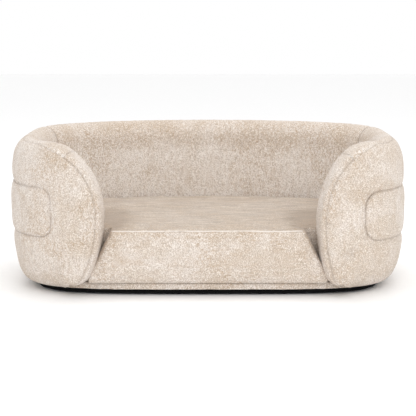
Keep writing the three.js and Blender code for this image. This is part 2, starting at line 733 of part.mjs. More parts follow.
// The slider, turned into its place on the arc, with its pull hanging from it.
function makeZipSlider() {
  const seat = new THREE.Group();
  seat.position.set(0, ZIP_CENTRE_Y, 0);
  seat.rotation.z = -rad(SLIDER_START);
  const face = ZIP_ARC_RADIUS - ZIP_CHANNEL_DEEP;
  const slider = new THREE.BoxGeometry(SLIDER.wide, SLIDER.thick, SLIDER.high);
  const sliderZ = ZIP_Z + TAPE_HIGH / 2 - SLIDER.high;
  const sliderY = face + GAP + SLIDER_PROUD + SLIDER.thick / 2;
  add(seat, "zip_slider", slider, STEEL).position.set(0, sliderY, sliderZ);
  const pull = new THREE.BoxGeometry(PULL.wide, PULL.thick, PULL.high);
  const pullZ = sliderZ - SLIDER.high / 2 - GAP - PULL.high / 2;
  add(seat, "zip_pull", pull, STEEL).position.set(0, face + GAP + SLIDER.thick / 2, pullZ);
  cushion.add(seat);
}

makeBase();
makeTimber();
makeFoam();
makeCovers();
makeSidePads();
makeCushion();
makeZipSlider();

const group = new THREE.Group();
group.add(bed, cushion);
export default group;
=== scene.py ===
import json
import math

import bmesh
import bpy
import numpy as np
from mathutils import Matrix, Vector, noise
from mathutils.bvhtree import BVHTree
from mathutils.kdtree import KDTree


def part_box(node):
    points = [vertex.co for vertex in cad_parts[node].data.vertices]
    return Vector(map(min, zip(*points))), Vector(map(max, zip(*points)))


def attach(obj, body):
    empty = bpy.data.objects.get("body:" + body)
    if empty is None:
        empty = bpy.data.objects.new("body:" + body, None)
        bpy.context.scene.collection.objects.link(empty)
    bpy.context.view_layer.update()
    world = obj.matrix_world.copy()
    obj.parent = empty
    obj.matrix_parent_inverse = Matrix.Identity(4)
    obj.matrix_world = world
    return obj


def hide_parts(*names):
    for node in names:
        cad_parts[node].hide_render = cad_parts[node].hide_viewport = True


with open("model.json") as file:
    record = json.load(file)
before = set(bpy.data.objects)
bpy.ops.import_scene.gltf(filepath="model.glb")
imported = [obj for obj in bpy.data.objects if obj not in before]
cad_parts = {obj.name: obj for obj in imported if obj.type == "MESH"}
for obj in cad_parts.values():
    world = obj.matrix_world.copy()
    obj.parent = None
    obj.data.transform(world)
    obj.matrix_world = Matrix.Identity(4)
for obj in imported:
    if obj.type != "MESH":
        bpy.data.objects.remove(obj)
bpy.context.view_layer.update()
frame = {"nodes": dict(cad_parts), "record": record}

COVER_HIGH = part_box("outer_cover")[1]
CUSHION_LOW, CUSHION_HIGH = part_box("cushion_cover")
RAIL_LOW, RAIL_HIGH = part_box("front_rail_cover")

# ---- Wall, as the CAD builds it ----
HALF_WIDTH = COVER_HIGH.x
BACK_REACH = COVER_HIGH.y
FRONT_REACH = BACK_REACH + 0.005  # the open front leaves the arms this much short of the whole oval
BACK_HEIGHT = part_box("lining_back")[1].z
SIDE_HEIGHT = BACK_HEIGHT - 0.006
BOARD_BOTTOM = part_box("base_board")[0].z
LINING_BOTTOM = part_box("lining_back")[0].z
WALL = 0.070
FRONT_EXPONENT = 4.1
BACK_EXPONENT = 2.1

# Arm ends: the rim falls in a quarter ellipse to the tip, then the edge runs back under in an arc.
CURVE_START_X = 0.370
TIP_X = 0.228
TIP_Z = 0.175
UNDER_RADIUS = 0.300
# Each arm's tip across, tip height and under arc. The padding in the right arm is packed a little shorter.
ARM_TIPS = {"left": (TIP_X, TIP_Z, UNDER_RADIUS), "right": (TIP_X + 0.012, TIP_Z - 0.013, 0.395)}
SIGNS = {"left": -1, "right": 1}
MIRROR = np.array([-1, 1, 1])
BAND_TOP_X = 0.300
SOFT_FROM_X = 0.390
TIP_SOFT = 0.045  # how far round each tip the cloth is evened out
ROLLED_FOOT_X = 0.336
CORNER_LENGTH = 0.022  # rounding where the under arc meets the floor line
SPLIT_ANGLE = 17

# Edge rolls: how far each goes across the wall and down its face, and how square it is.
CROWN_IN = WALL / 2
CROWN_OUTER_DOWN = 0.068
CROWN_INNER_DOWN = 0.045
END_DOWN = 0.030
FOOT_ROLL_IN = 0.038
FOOT_ROLL_UP = 0.102
SOFT_EXPONENT = 2.0
END_EXPONENT = 4.2
END_SEAM_TURN = 27
CROWN_SEAM_TURN = 72

# Wall meshes: spacing of the columns behind the arm curve, and how many columns and rows each part has
COLUMN = 0.005
ARM_COLUMNS = 48
HEM_ROWS = 4
FOOT_ROWS = 18
CROWN_ROWS = 12
FACE_ROWS = 30
EDGE_ROWS = 26
CURVE_SAMPLES = 600
PLAN_SAMPLES = 6001
WELD = 2e-5

# Hem: the outer cover's foot turns in under the board and sags a little
HEM_DROP = 0.0018
HEM_REACH = 0.009
HEM_STILL = 0.012  # below this height over the board's bottom, padding and seams don't move the cloth

# Seams: depth and half-width of the valley that a stitched line pulls into the padding
SEAM_DEEP = 0.0030
SEAM_WIDE = 0.0052
BAND_SEAM_DEPTH = 1.0
CROWN_SEAM_DEPTH = 0.4
SPLIT_SEAM_DEPTH = 0.9
PUCKER_HIGH = 0.0007
PUCKER_LENGTH = 0.017
PUCKER_REACH = 0.020
SEAM_SPACING = 0.0015
SEAM_LINE = 0.0024  # half-width of the line of painted shade along each seam
CLOTH_THICK = 0.0018

# Uneven padding: size of the swells, how high they stand, and which noise they take
WALL_SWELLS = ((0.085, 0.0016, 1), (0.030, 0.0008, 2))
PADDING_PROUD = 0.0012
PADDING_FREE = 0.030  # this far from a seam the padding is fully free

# Creases: half-width of the fold, how far it fades past its ends, and the share that stands up beside it
CREASE_WIDE = 0.0032
CREASE_FADE = 0.006
CREASE_LIP = 0.6

# Side pads: the right one is sewn with rounder corners
PAD_BOXES = {"right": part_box("side_pad_right"), "left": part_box("side_pad_left")}
PAD_CORNERS = {"right": 0.038, "left": 0.028}
PAD_FRONT_X = 0.336
PAD_STEPS = (110, 24)
PAD_EDGE_DEPTH = 0.0012
PAD_START_HEIGHT = 0.0030  # of the face before it is blown up
PAD_RISE_LIMIT = 0.0045
PAD_CLOTH = 0.0025
PAD_SEAM_LINE = 0.0025  # half-width of the line of painted shade round a pad
PAD_BED_DEPTH = 0.0035  # the cover lies this much lower under a pad

# Front rail: how far the board's edge lies in from the wall's outer face, and the shape of the cloth over it
RAIL_INSET = 0.0385
RAIL_UNDER = 0.0009
RAIL_ROUND = 0.0050
RAIL_BULGE = 0.0006
RAIL_STRAIGHT = 0.0085
RAIL_PAST_END = 0.062  # the cloth runs on this far under each arm
RAIL_STATIONS = 180
RAIL_CLOTH = 0.0012

# Cushion
TONGUE_TOP_HALF = 0.206
BAND_CLEAR = 0.0015  # between the tongue and the arm ends
WELL_CLEAR = 0.0045
TONGUE_FRONT = CUSHION_LOW.y
TONGUE_CORNER = 0.007
NECK_OUT = 0.003  # behind its corner the tongue is this much wider
SHOULDER_OUT = 0.075  # the wall's curve takes over this far outside the tongue's top corner
BOW_CLEAR = 0.012
WELL_SKIN = 0.0015
PASSAGE = 0.010  # the tongue passes between the arms from this far behind the wall's inner face
CUSHION_VOXEL = 0.0058
CUSHION_RISE_LIMIT = 0.007
CUSHION_HELD = 0.0055  # points nearer to a seam than this are held in the simulation
EDGE_IN = 0.003  # the seams lie this far in from the top and bottom
WELT_HEIGHT = 0.0016
WELT_WIDTH = 0.0045
ZIP_ARC_RADIUS = 0.640
ZIP_ARC_Y = 0.216
ZIP_HALF_ANGLE = 18
BOW_ANGLES = (20, 15, 10, 5, 0)
ZIP_Z = 0.086
ZIP_CHANNEL_DEEP = 0.008
ZIP_CHANNEL_HIGH = 0.030
CHANNEL_FADE = 0.004  # its upper and lower lips are rounded over this height
CHANNEL_SPARE = 0.0022  # the cloth lies this far under the tape's outer face
TAPE_HIGH = 0.024
TAPE_THICK = 0.0012
TAPE_END = 0.3  # degrees short of the channel's end
TOOTH_PITCH = 0.0032
TOOTH_END = 0.6
TOOTH_STAGGER = 0.0011
TOOTH_SIZE = (0.0019, 0.0003, 0.0036)
# Slider: each part's size, how far it stands out from the slider's middle, and its bevel
SLIDER_PARTS = (
    ("slider_body", (0.0106, 0.0036, 0.0076), 0, 0.0012),
    ("slider_bridge", (0.0024, 0.0018, 0.0058), 0.0022, 0.0007),
)
PULL_LAYERS = ((-0.0008, 0.9), (-0.0005, 1.0), (0.0005, 1.0), (0.0008, 0.9))  # depth, and share of full width
SLIDER_ANGLE = 16
SEAT_RISE = 0.007
FRONT_DROOP = 0.0040  # the front edge hangs this far over the rail

SIM_FRAMES = 20
PAD_FILL = (3.0, 0.01)  # pressure, and spare cloth as a share
CUSHION_FILL = (4.0, 0.015)
FOAM_EDGE = 0.014  # the cut foam's longest edges, in three rounds of halving
FOAM_REACH = 0.05
OUTER_FOAM = ("outer_foam_back", "outer_foam_left", "outer_foam_right")
FOOT_DISH = 0.0004
FOOT_EDGE = 0.001

CAMERA_FAR = 3.0
CAMERA_TILT = 0.155
CAMERA_AIM = 0.152
CAMERA_LENS = 111.2
FLOOR_HALF = 9.0
# Lights: name, where it stands, what it points at, its size and its power
LIGHTS = (
    ("front", (0.5, -3.4, 1.9), (0, 0.2, 0.18), (2.4, 1.4), 28),
    ("side", (2.2, -1.8, 2.4), (0, 0, 0.15), (1.6, 1.6), 8),
    ("top", (0, 0.6, 3.2), (0, 0.0, 0.2), (2.6, 1.2), 24),
)


# ---- Small helpers ----
def smooth(t):
    t = np.clip(t, 0, 1)
    return t * t * (3 - 2 * t)


def bell(t):
    """1 at nothing, fading to about a third at 1 and to almost nothing at 2."""
    return np.exp(-(t**2))


def lerp(a, b, t):
    return a + (b - a) * t


def unit(v):
    return v / np.maximum(np.linalg.norm(v, axis=-1, keepdims=True), 1e-12)


def measured(points):
    """The length along a line of points, at each of them."""
    return np.concatenate([[0], np.cumsum(np.linalg.norm(np.diff(points, axis=0), axis=1))])


def nearest(points, tree):
    """Index and distance of the tree's nearest entry to each point."""
    found = [tree.find(p) for p in points]
    return np.array([f[1] for f in found]), np.array([f[2] for f in found])


def tree_with(points):
    tree = KDTree(len(points))
    for i, p in enumerate(points):
        tree.insert(p, i)
    tree.balance()
    return tree


def middle_of(box):
    return (box[0] + box[1]) / 2


# ---- Plan outline: distance along it, from the middle of the front round to the middle of the back ----
def plan_point(angle):
    frontness = smooth(0.5 - 0.5 * np.sin(angle))
    n = lerp(BACK_EXPONENT, FRONT_EXPONENT, frontness)
    reach = np.where(np.sin(angle) < 0, FRONT_REACH, BACK_REACH)
    x = np.abs(np.cos(angle)) / HALF_WIDTH
    y = np.abs(np.sin(angle)) / reach
    radius = (x**n + y**n) ** (-1 / n)
    return np.stack([radius * np.cos(angle), radius * np.sin(angle)], -1)


PLAN_ANGLES = np.linspace(-math.pi / 2, math.pi / 2, PLAN_SAMPLES)
PLAN = plan_point(PLAN_ANGLES)
PLAN_S = measured(PLAN)
PLAN_ALONG = unit(np.gradient(PLAN, axis=0))
PLAN_OUT = np.stack([PLAN_ALONG[:, 1], -PLAN_ALONG[:, 0]], -1)
S_BACK = PLAN_S[-1]
FRONT_QUARTER = PLAN_ANGLES <= 0


def s_at_x(x):
    return np.interp(x, PLAN[FRONT_QUARTER, 0], PLAN_S[FRONT_QUARTER])


def s_at_angle(degrees):
    return float(np.interp(math.radians(degrees), PLAN_ANGLES, PLAN_S))


def place(s, z, inset):
    """Points at a distance along the outline, a height and a depth in from the outer face."""
    s, z, inset = np.broadcast_arrays(s, z, inset)
    x = np.interp(s, PLAN_S, PLAN[:, 0]) - np.interp(s, PLAN_S, PLAN_OUT[:, 0]) * inset
    y = np.interp(s, PLAN_S, PLAN[:, 1]) - np.interp(s, PLAN_S, PLAN_OUT[:, 1]) * inset
    return np.stack([x, y, z], -1)


def outward(s):
    return np.array([np.interp(s, PLAN_S, PLAN_OUT[:, 0]), np.interp(s, PLAN_S, PLAN_OUT[:, 1]), 0.0])


# ---- Edge paths, in (along, height) ----
def rim_height(s):
    y = np.interp(s, PLAN_S, PLAN[:, 1])
    return lerp(SIDE_HEIGHT, BACK_HEIGHT, smooth(y / BACK_REACH))


def sampled(points, at):
    length = measured(points)
    return np.stack([np.interp(at, length, points[:, i]) for i in range(2)], -1)


def inward(points, side):
    """Unit normals of a path that point into the wall's face; side is 1 on the rim and -1 on the foot."""
    along = unit(np.gradient(points, axis=0))
    normal = np.stack([along[:, 1], -along[:, 0]], -1) * side
    normal[0] = (1, 0)
    return normal


def x_of(s):
    return np.interp(s, PLAN_S, PLAN[:, 0])


def is_front(s):
    return np.interp(s, PLAN_S, PLAN[:, 1]) < 0


S_CURVE = float(s_at_x(CURVE_START_X))
REST_COLUMNS = round((S_BACK - S_CURVE) / COLUMN)
COLUMNS = ARM_COLUMNS + REST_COLUMNS


def roll(turn, across, down, exponent):
    """(depth across the wall, distance down its face) of an edge roll; turn 0 is the face, 90 the edge."""
    t = np.radians(turn)
    power = 2 / exponent
    c = np.maximum(np.cos(t), 0) ** power
    s = np.maximum(np.sin(t), 0) ** power
    return across * (1 - c), down * (1 - s)


class Half:
    """One half of the wall, as columns from the arm's tip to the middle of the back, all on the +X side."""

    def __init__(self, side):
        self.mirror = side == "left"
        self.tip_x, self.tip_z, self.under_radius = ARM_TIPS[side]
        self.top = self.columns_of(self.top_curve(), rim_height)
        self.top_in = inward(self.top, 1)
        self.bottom = [self.foot_columns(lowest) for lowest in (BOARD_BOTTOM, LINING_BOTTOM)]
        self.bottom_in = [inward(path, -1) for path in self.bottom]
        top_x = x_of(self.top[:, 0])
        fall = 1 - smooth((top_x - BAND_TOP_X) / (SOFT_FROM_X - BAND_TOP_X))
        self.square = np.where(is_front(self.top[:, 0]), fall, 0.0)
        foot_x = x_of(self.bottom[0][:, 0])
        corner_x = foot_x[np.argmax(self.bottom[0][:, 1] < BOARD_BOTTOM + 0.001)]
        rise = smooth((foot_x - corner_x + 0.004) / (ROLLED_FOOT_X - corner_x))
        self.footed = np.where(is_front(self.bottom[0][:, 0]), rise, 1.0)
        self.band_top = int(np.argmax(top_x > BAND_TOP_X))
        self.corner = int(np.argmax(foot_x > corner_x))
        self.split = int(np.argmax(self.top[:, 0] >= s_at_angle(SPLIT_ANGLE)))

    def top_curve(self):
        turn = np.linspace(0, math.pi / 2, CURVE_SAMPLES)
        x = CURVE_START_X - (CURVE_START_X - self.tip_x) * np.cos(turn)
        z = self.tip_z + (SIDE_HEIGHT - self.tip_z) * np.sin(turn)
        return np.stack([s_at_x(x), z], -1)

    def bottom_curve(self, lowest):
        """The under arc down to a lowest height, a rounded corner, then level to the arm curve's start."""
        last_turn = math.asin((self.tip_z - lowest) / self.under_radius)
        turn = np.linspace(0, last_turn, CURVE_SAMPLES * 2 // 3)
        x = self.tip_x + self.under_radius * (1 - np.cos(turn))
        arc = np.stack([s_at_x(x), self.tip_z - self.under_radius * np.sin(turn)], -1)
        level_s = np.linspace(arc[-1, 0], S_CURVE, CURVE_SAMPLES // 3)[1:]
        level = np.stack([level_s, np.full_like(level_s, lowest)], -1)
        length = measured(arc)
        before = arc[length < length[-1] - CORNER_LENGTH]
        after = level[level[:, 0] > arc[-1, 0] + CORNER_LENGTH]
        t = np.linspace(0, 1, 40)[:, None]
        a, b, c = before[-1], arc[-1], after[0]
        bend = (1 - t) ** 2 * a + 2 * t * (1 - t) * b + t**2 * c
        return np.concatenate([before[:-1], bend, after[1:]])

    def foot_columns(self, lowest):
        return self.columns_of(self.bottom_curve(lowest), lambda s: np.full_like(s, lowest))

    def columns_of(self, curve, height_of):
        arm = sampled(curve, np.linspace(0, measured(curve)[-1], ARM_COLUMNS + 1))
        s = np.linspace(S_CURVE, S_BACK, REST_COLUMNS + 1)[1:]
        return np.concatenate([arm, np.stack([s, height_of(s)], -1)])

    def seam_turn(self, column):
        return lerp(CROWN_SEAM_TURN, END_SEAM_TURN, self.square[column])

    def on_top(self, column, turn, inner):
        q = self.square[column]
        down = lerp(CROWN_INNER_DOWN if inner else CROWN_OUTER_DOWN, END_DOWN, q)
        inset, down = roll(turn, CROWN_IN, down, lerp(SOFT_EXPONENT, END_EXPONENT, q))
        s, z = self.top[column] + self.top_in[column] * down
        return s, z, WALL - inset if inner else inset

    def bottom_roll(self, column, turn, inner):
        g = self.footed[column]
        exponent = lerp(END_EXPONENT, SOFT_EXPONENT, g)
        if inner:
            inset, down = roll(turn, lerp(CROWN_IN, 0.0, g), lerp(END_DOWN, 0.004, g), exponent)
            return WALL - inset, down
        return roll(turn, lerp(CROWN_IN, FOOT_ROLL_IN, g), lerp(END_DOWN, FOOT_ROLL_UP, g), exponent)

    def on_bottom(self, column, turn, inner):
        inset, down = self.bottom_roll(column, turn, inner)
        path = int(inner)
        s, z = self.bottom[path][column] + self.bottom_in[path][column] * down
        return s, z, inset

    def face(self, column, inner):
        """One column of the outer or inner face, from its hem or bottom seam up to its top seam."""
        g = self.footed[column]
        end_turn = END_SEAM_TURN if inner else lerp(END_SEAM_TURN, 90, g)
        points = []
        for step in range(0 if inner else HEM_ROWS):  # the hem, tucked under the board
            t = 1 - step / HEM_ROWS
            s, z, inset = self.on_bottom(column, end_turn, False)
            points.append((s, z - HEM_DROP * g * math.sin(t * math.pi * 0.6), inset + HEM_REACH * g * t))
        for turn in np.linspace(end_turn, 0, FOOT_ROWS):
            points.append(self.on_bottom(column, turn, inner))
        last_turn = END_SEAM_TURN if inner else self.seam_turn(column)
        top = [self.on_top(column, turn, inner) for turn in np.linspace(0, last_turn, CROWN_ROWS)]
        low, high = np.array(points[-1]), np.array(top[0])
        for step in range(1, FACE_ROWS):
            points.append(tuple(lerp(low, high, step / FACE_ROWS)))
        return points + top

    def over_edge(self, column, on_rim):
        """One column of the strip over the edge, from the outer seam to the inner seam."""
        first = self.seam_turn(column) if on_rim else END_SEAM_TURN
        outer = np.linspace(first, 90, EDGE_ROWS // 2)
        inner = np.linspace(90, END_SEAM_TURN, EDGE_ROWS // 2)[1:]
        point = self.on_top if on_rim else self.band_bottom
        return [point(column, turn, False) for turn in outer] + [point(column, turn, True) for turn in inner]

    def band_bottom(self, column, turn, inner):
        """The band's lower run, which moves from the outer face's path to the lining's across the wall."""
        over = 1.0 if inner else min(1.0, (turn - END_SEAM_TURN) / 60)
        if inner or turn > END_SEAM_TURN:
            inset, down = self.bottom_roll(column, turn, inner)
        else:
            inset, down = self.bottom_roll(column, lerp(END_SEAM_TURN, 90, self.footed[column]), False)
        base = lerp(self.bottom[0][column], self.bottom[1][column], over)
        s, z = base + lerp(self.bottom_in[0][column], self.bottom_in[1][column], over) * down
        return s, z, inset


# ---- Meshes from rows of points ----
def placed(columns_of_points, mirror=False):
    table = np.array(columns_of_points, float)
    points = place(table[..., 0], table[..., 1], table[..., 2])
    return points * MIRROR if mirror else points


def grid_faces(columns, rows, offset, flip):
    c, r = np.meshgrid(np.arange(columns - 1), np.arange(rows - 1), indexing="ij")
    a = offset + c * rows + r
    quads = np.stack([a, a + rows, a + rows + 1, a + 1], -1).reshape(-1, 4)
    return quads[:, ::-1] if flip else quads


def mesh_from_grids(name, grids):
    """One object from several (columns, rows, 3) grids, each with a flag that turns its faces round."""
    points, faces, offset = [], [], 0
    for grid, flip in grids:
        columns, rows = grid.shape[:2]
        points.append(grid.reshape(-1, 3))
        faces.append(grid_faces(columns, rows, offset, flip))
        offset += columns * rows
    drafted = bpy.data.meshes.new("drafted")
    drafted.from_pydata(np.concatenate(points).tolist(), [], np.concatenate(faces).tolist())
    made = bmesh.new()
    made.from_mesh(drafted)
    bpy.data.meshes.remove(drafted)
    bmesh.ops.remove_doubles(made, verts=made.verts, dist=WELD)
    return object_from(made, name)


def linked(name, data):
    """A new object in the scene."""
    obj = bpy.data.objects.new(name, data)
    bpy.context.scene.collection.objects.link(obj)
    return obj


def object_from(made, name):
    """A smooth-shaded object that takes over a bmesh."""
    mesh = bpy.data.meshes.new(name)
    made.to_mesh(mesh)
    made.free()
    mesh.shade_smooth()
    return linked(name, mesh)


def coords(obj):
    co = np.zeros(len(obj.data.vertices) * 3, np.float64)
    obj.data.vertices.foreach_get("co", co)
    return co.reshape(-1, 3)


def set_coords(obj, points):
    obj.data.vertices.foreach_set("co", np.asarray(points, np.float32).ravel())
    obj.data.update()


def normals(obj):
    n = np.zeros(len(obj.data.vertices) * 3, np.float32)
    obj.data.vertex_normals.foreach_get("vector", n)
    return n.reshape(-1, 3).astype(float)


def push_out(obj, move):
    """Moves each point along its normal."""
    set_coords(obj, coords(obj) + normals(obj) * move[:, None])


def set_float(obj, name, values):
    layer = obj.data.attributes.get(name) or obj.data.attributes.new(name, "FLOAT", "POINT")
    layer.data.foreach_set("value", np.asarray(values, np.float32))


def get_float(obj, name):
    values = np.zeros(len(obj.data.vertices), np.float32)
    obj.data.attributes[name].data.foreach_get("value", values)
    return values.astype(float)


def noise_at(points, size, seed):
    shift = Vector((seed * 7.31, seed * 3.17, seed * 5.73))
    return np.array([noise.noise(Vector(p) / size + shift) for p in points])


# ---- Seams ----
class Seams:
    """Stitched lines that pull the cloth in. Each point knows how far along its line it is."""

    def __init__(self):
        self.points = []
        self.along = []
        self.depth = []

    def add(self, line, depth=1.0):
        line = np.asarray(line, float)
        length = measured(line)
        count = max(2, int(length[-1] / SEAM_SPACING))
        at = np.linspace(0, length[-1], count)
        dense = np.stack([np.interp(at, length, line[:, i]) for i in range(3)], -1)
        self.points.extend(dense)
        self.along.extend(at + 0.37 * len(self.points))
        self.depth.extend([depth] * count)

    def measure(self, points):
        """Distance to the nearest seam, the length along it and its depth, at each point."""
        index, distance = nearest(points, tree_with(self.points))
        return distance, np.array(self.along)[index], np.array(self.depth)[index]


def seam_relief(distance, along, depth):
    """How far a seam moves the surface in, with small puckers on both sides of it."""
    valley = -SEAM_DEEP * depth * bell(distance / SEAM_WIDE)
    turn = along * 2 * math.pi / PUCKER_LENGTH
    beat = np.sin(turn) + 0.7 * np.sin(turn / 1.73 + 1.0)
    swell = distance / PUCKER_REACH * np.exp(1 - distance / PUCKER_REACH)
    return valley + PUCKER_HIGH * depth * beat * swell * np.exp(-distance / PUCKER_REACH)


WALL_SEAMS = Seams()


# ---- Nodes ----
class Nodes:
    """Builds a material's node tree with short calls."""

    def __init__(self, name):
        self.material = bpy.data.materials.new(name)
        self.material.use_nodes = True
        self.tree = self.material.node_tree
        self.shader = self.tree.nodes["Principled BSDF"]

    def add(self, kind, values=(), **settings):
        node = self.tree.nodes.new(kind)
        for key, value in settings.items():
            setattr(node, key, value)
        for key, value in dict(values).items():
            self.put(node, key, value)
        return node

    def put(self, node, key, value):
        """Links a socket to an input, or sets the input to a plain value."""
        if isinstance(value, bpy.types.NodeSocket):
            self.tree.links.new(value, node.inputs[key])
        else:
            node.inputs[key].default_value = value

    def place(self, stretch=(1, 1, 1)):
        where = self.add("ShaderNodeTexCoord").outputs["Object"]
        return self.add("ShaderNodeMapping", {"Vector": where, "Scale": stretch}).outputs[0]

    def noise(self, scale, detail=2.0, roughness=0.5, distortion=0.0, stretch=(1, 1, 1)):
        values = {"Vector": self.place(stretch), "Scale": scale, "Detail": detail}
        values.update({"Roughness": roughness, "Distortion": distortion})
        return self.add("ShaderNodeTexNoise", values).outputs["Fac"]

    def math(self, operation, a, b=0.0, clamp=False):
        return self.add("ShaderNodeMath", {0: a, 1: b}, operation=operation, use_clamp=clamp).outputs[0]

    def times(self, a, b, clamp=False):
        return self.math("MULTIPLY", a, b, clamp)

    def weighted(self, *terms):
        """The sum of some values, each with its weight."""
        total = None
        for value, weight in terms:
            part = self.times(value, weight)
            total = part if total is None else self.math("ADD", total, part)
        return total

    def wave(self, scale, distortion, stretch=(1, 1, 1), **settings):
        values = {"Vector": self.place(stretch), "Scale": scale, "Distortion": distortion, "Detail": 2.0}
        return self.add("ShaderNodeTexWave", values, **settings).outputs["Fac"]

    def ramp(self, value, low, high, out_low=0.0, out_high=1.0):
        values = {"Value": value, "From Min": low, "From Max": high, "To Min": out_low, "To Max": out_high}
        return self.add("ShaderNodeMapRange", values, clamp=True).outputs[0]

    def mix(self, amount, a, b):
        values = {0: amount, 6: opaque(a), 7: opaque(b)}
        return self.add("ShaderNodeMix", values, data_type="RGBA").outputs[2]

    def attribute(self, name):
        return self.add("ShaderNodeAttribute", attribute_name=name).outputs["Fac"]

    def finish(self, colour, roughness, height=None, distance=0.001, strength=1.0, **shader):
        self.put(self.shader, "Base Color", opaque(colour))
        self.put(self.shader, "Roughness", roughness)
        for key, value in shader.items():
            self.put(self.shader, key.replace("_", " "), value)
        if height is not None:
            values = {"Height": height, "Distance": distance, "Strength": strength}
            self.put(self.shader, "Normal", self.add("ShaderNodeBump", values).outputs[0])
        return self.material


def opaque(colour):
    """A plain colour with its alpha; a socket stays as it is."""
    return colour if isinstance(colour, bpy.types.NodeSocket) else (*colour, 1)


def chenille(name, streak_along, welt=None):
    """Cut-pile chenille: tufted speckle, tan flecks in patches and areas where the pile lies over, with
    painted shade on the seat top, beside the arms and on the cushion tongue's sides, painted shade along
    seams, painted light on lining faces turned to the front, and a painted highlight along the cushion's
    front welt.
    """
    n = Nodes(name)
    tuft = n.noise(470, detail=1.0, roughness=0.6)
    fibre = n.noise(1100, detail=1.0)
    fleck = n.noise(300, detail=2.0, roughness=0.65, distortion=0.5, stretch=streak_along)
    drawn_out = tuple(v**2 for v in streak_along)
    streak = n.noise(150, detail=2.0, stretch=drawn_out)
    patch = n.noise(12, detail=3.0, roughness=0.6, distortion=0.8)
    cloud = n.noise(8, detail=3.0, distortion=1.0)
    brush = n.noise(80, detail=3.0, roughness=0.7, stretch=drawn_out)
    nap_and_shade = n.attribute("nap_and_shade")
    colour = n.mix(n.ramp(cloud, 0.42, 0.60), CHENILLE_LIGHT, CHENILLE_WARM)
    # Painted light on lining faces turned to the front.
    colour = n.mix(n.attribute("front_lit"), colour, CHENILLE_TIP_AND_HIGHLIGHT)
    # Painted shade: the seat top is darkened partly as laid-flat pile and partly as shade, the seat beside
    # the arms and the tongue's sides wholly as shade.
    brushed_and_shade = n.mix(n.ramp(brush, 0.38, 0.62), CHENILLE_BRUSHED_SHADE, CHENILLE_PRESSED_SHADE)
    colour = n.mix(n.times(nap_and_shade, 0.9, clamp=True), colour, brushed_and_shade)
    # More painted shade where that mark is strongest, beside the arms and on the tongue's sides.
    colour = n.mix(n.ramp(nap_and_shade, 0.7, 1.3, 0.04, 0.75), colour, CHENILLE_SHADE)
    colour = n.mix(n.ramp(streak, 0.42, 0.68, 0.0, 0.35), colour, CHENILLE_TAN)
    where = n.math("ADD", patch, n.times(n.attribute("worn"), 0.14))
    patchy = n.times(n.ramp(fleck, 0.46, 0.62), n.ramp(where, 0.47, 0.62, 0.06, 1.0))
    colour = n.mix(n.times(patchy, 0.85), colour, CHENILLE_TAN)
    colour = n.mix(n.ramp(tuft, 0.34, 0.54, 0.62, 0.0), colour, CHENILLE_SHADE)
    # Pale tuft tips are held back where painted shade lies.
    upright_and_unshaded = n.ramp(nap_and_shade, 0.0, 1.2, 1.0, 0.25)
    colour = n.mix(n.times(n.ramp(tuft, 0.56, 0.68, 0.0, 0.75), upright_and_unshaded), colour, CHENILLE_TIP_AND_HIGHLIGHT)
    # Painted shade along the seams, on the rail's top under the cushion and along the cushion's bottom seam.
    colour = n.mix(n.ramp(n.attribute("seam"), 0.0, 1.0, 0.0, 0.45), colour, CHENILLE_SHADE)
    if welt:
        # Painted highlight along the cushion's front welt.
        colour = n.mix(n.times(welt_highlight_line(n, *welt), 0.65), colour, CHENILLE_TIP_AND_HIGHLIGHT)
    height = n.weighted((tuft, 0.8), (fibre, 0.25), (fleck, 0.5))
    rough = n.ramp(tuft, 0.3, 0.7, 0.95, 0.8)
    settings = {"Sheen_Weight": 0.25, "Sheen_Roughness": 0.5, "Specular_IOR_Level": 0.2}
    return n.finish(colour, rough, height, distance=0.0026, strength=0.8, **settings)


def welt_highlight_line(n, height, back_y):
    """A painted highlight: a thin pale line along the front, where two cushion panels are sewn together and
    the welt stands up, at a height.
    """
    split = n.add("ShaderNodeSeparateXYZ", {0: n.place()})
    sway = n.ramp(n.noise(14), 0.3, 0.7, -0.0009, 0.0009)
    off = n.math("ABSOLUTE", n.math("SUBTRACT", n.math("ADD", split.outputs["Z"], sway), height))
    line = n.ramp(off, 0.0005, 0.0013, 1.0, 0.0)
    return n.times(line, n.ramp(split.outputs["Y"], back_y - 0.004, back_y, 1.0, 0.0))


def black_cloth():
    """Woven black backing cloth: fine weave, a little lint."""
    n = Nodes("black_backing_cloth")
    warp, weft = (n.wave(260, 0.6, bands_direction=axis) for axis in "XY")
    weave = n.times(warp, weft)
    lint = n.ramp(n.noise(90, detail=4.0), 0.62, 0.8)
    colour = n.mix(n.times(lint, 0.25), (0.006, 0.006, 0.0065), (0.03, 0.028, 0.027))
    return n.finish(colour, 0.95, weave, distance=0.0004, Specular_IOR_Level=0.1)


def wood(name, light, dark, ring_scale, stretch):
    n = Nodes(name)
    grain = n.noise(60, detail=5.0, roughness=0.6, distortion=1.2, stretch=stretch)
    rings = n.wave(ring_scale, 6.0, stretch)
    mixed = n.weighted((grain, 0.6), (rings, 0.4))
    pore = n.ramp(n.noise(400, detail=2.0, stretch=stretch), 0.6, 0.75, 0.0, 0.4)
    colour = n.mix(pore, n.mix(n.ramp(mixed, 0.3, 0.75), light, dark), dark)
    return n.finish(colour, n.ramp(grain, 0.3, 0.7, 0.55, 0.75), mixed, distance=0.0005)


def foam():
    n = Nodes("upholstery_foam")
    cells = n.add("ShaderNodeTexVoronoi", {"Vector": n.place(), "Scale": 700}).outputs["Distance"]
    tint = n.noise(30, detail=3.0)
    colour = n.mix(n.ramp(tint, 0.35, 0.65), (0.83, 0.74, 0.45), (0.74, 0.63, 0.35))
    return n.finish(colour, 0.9, cells, distance=0.0012, Sheen_Weight=0.1)


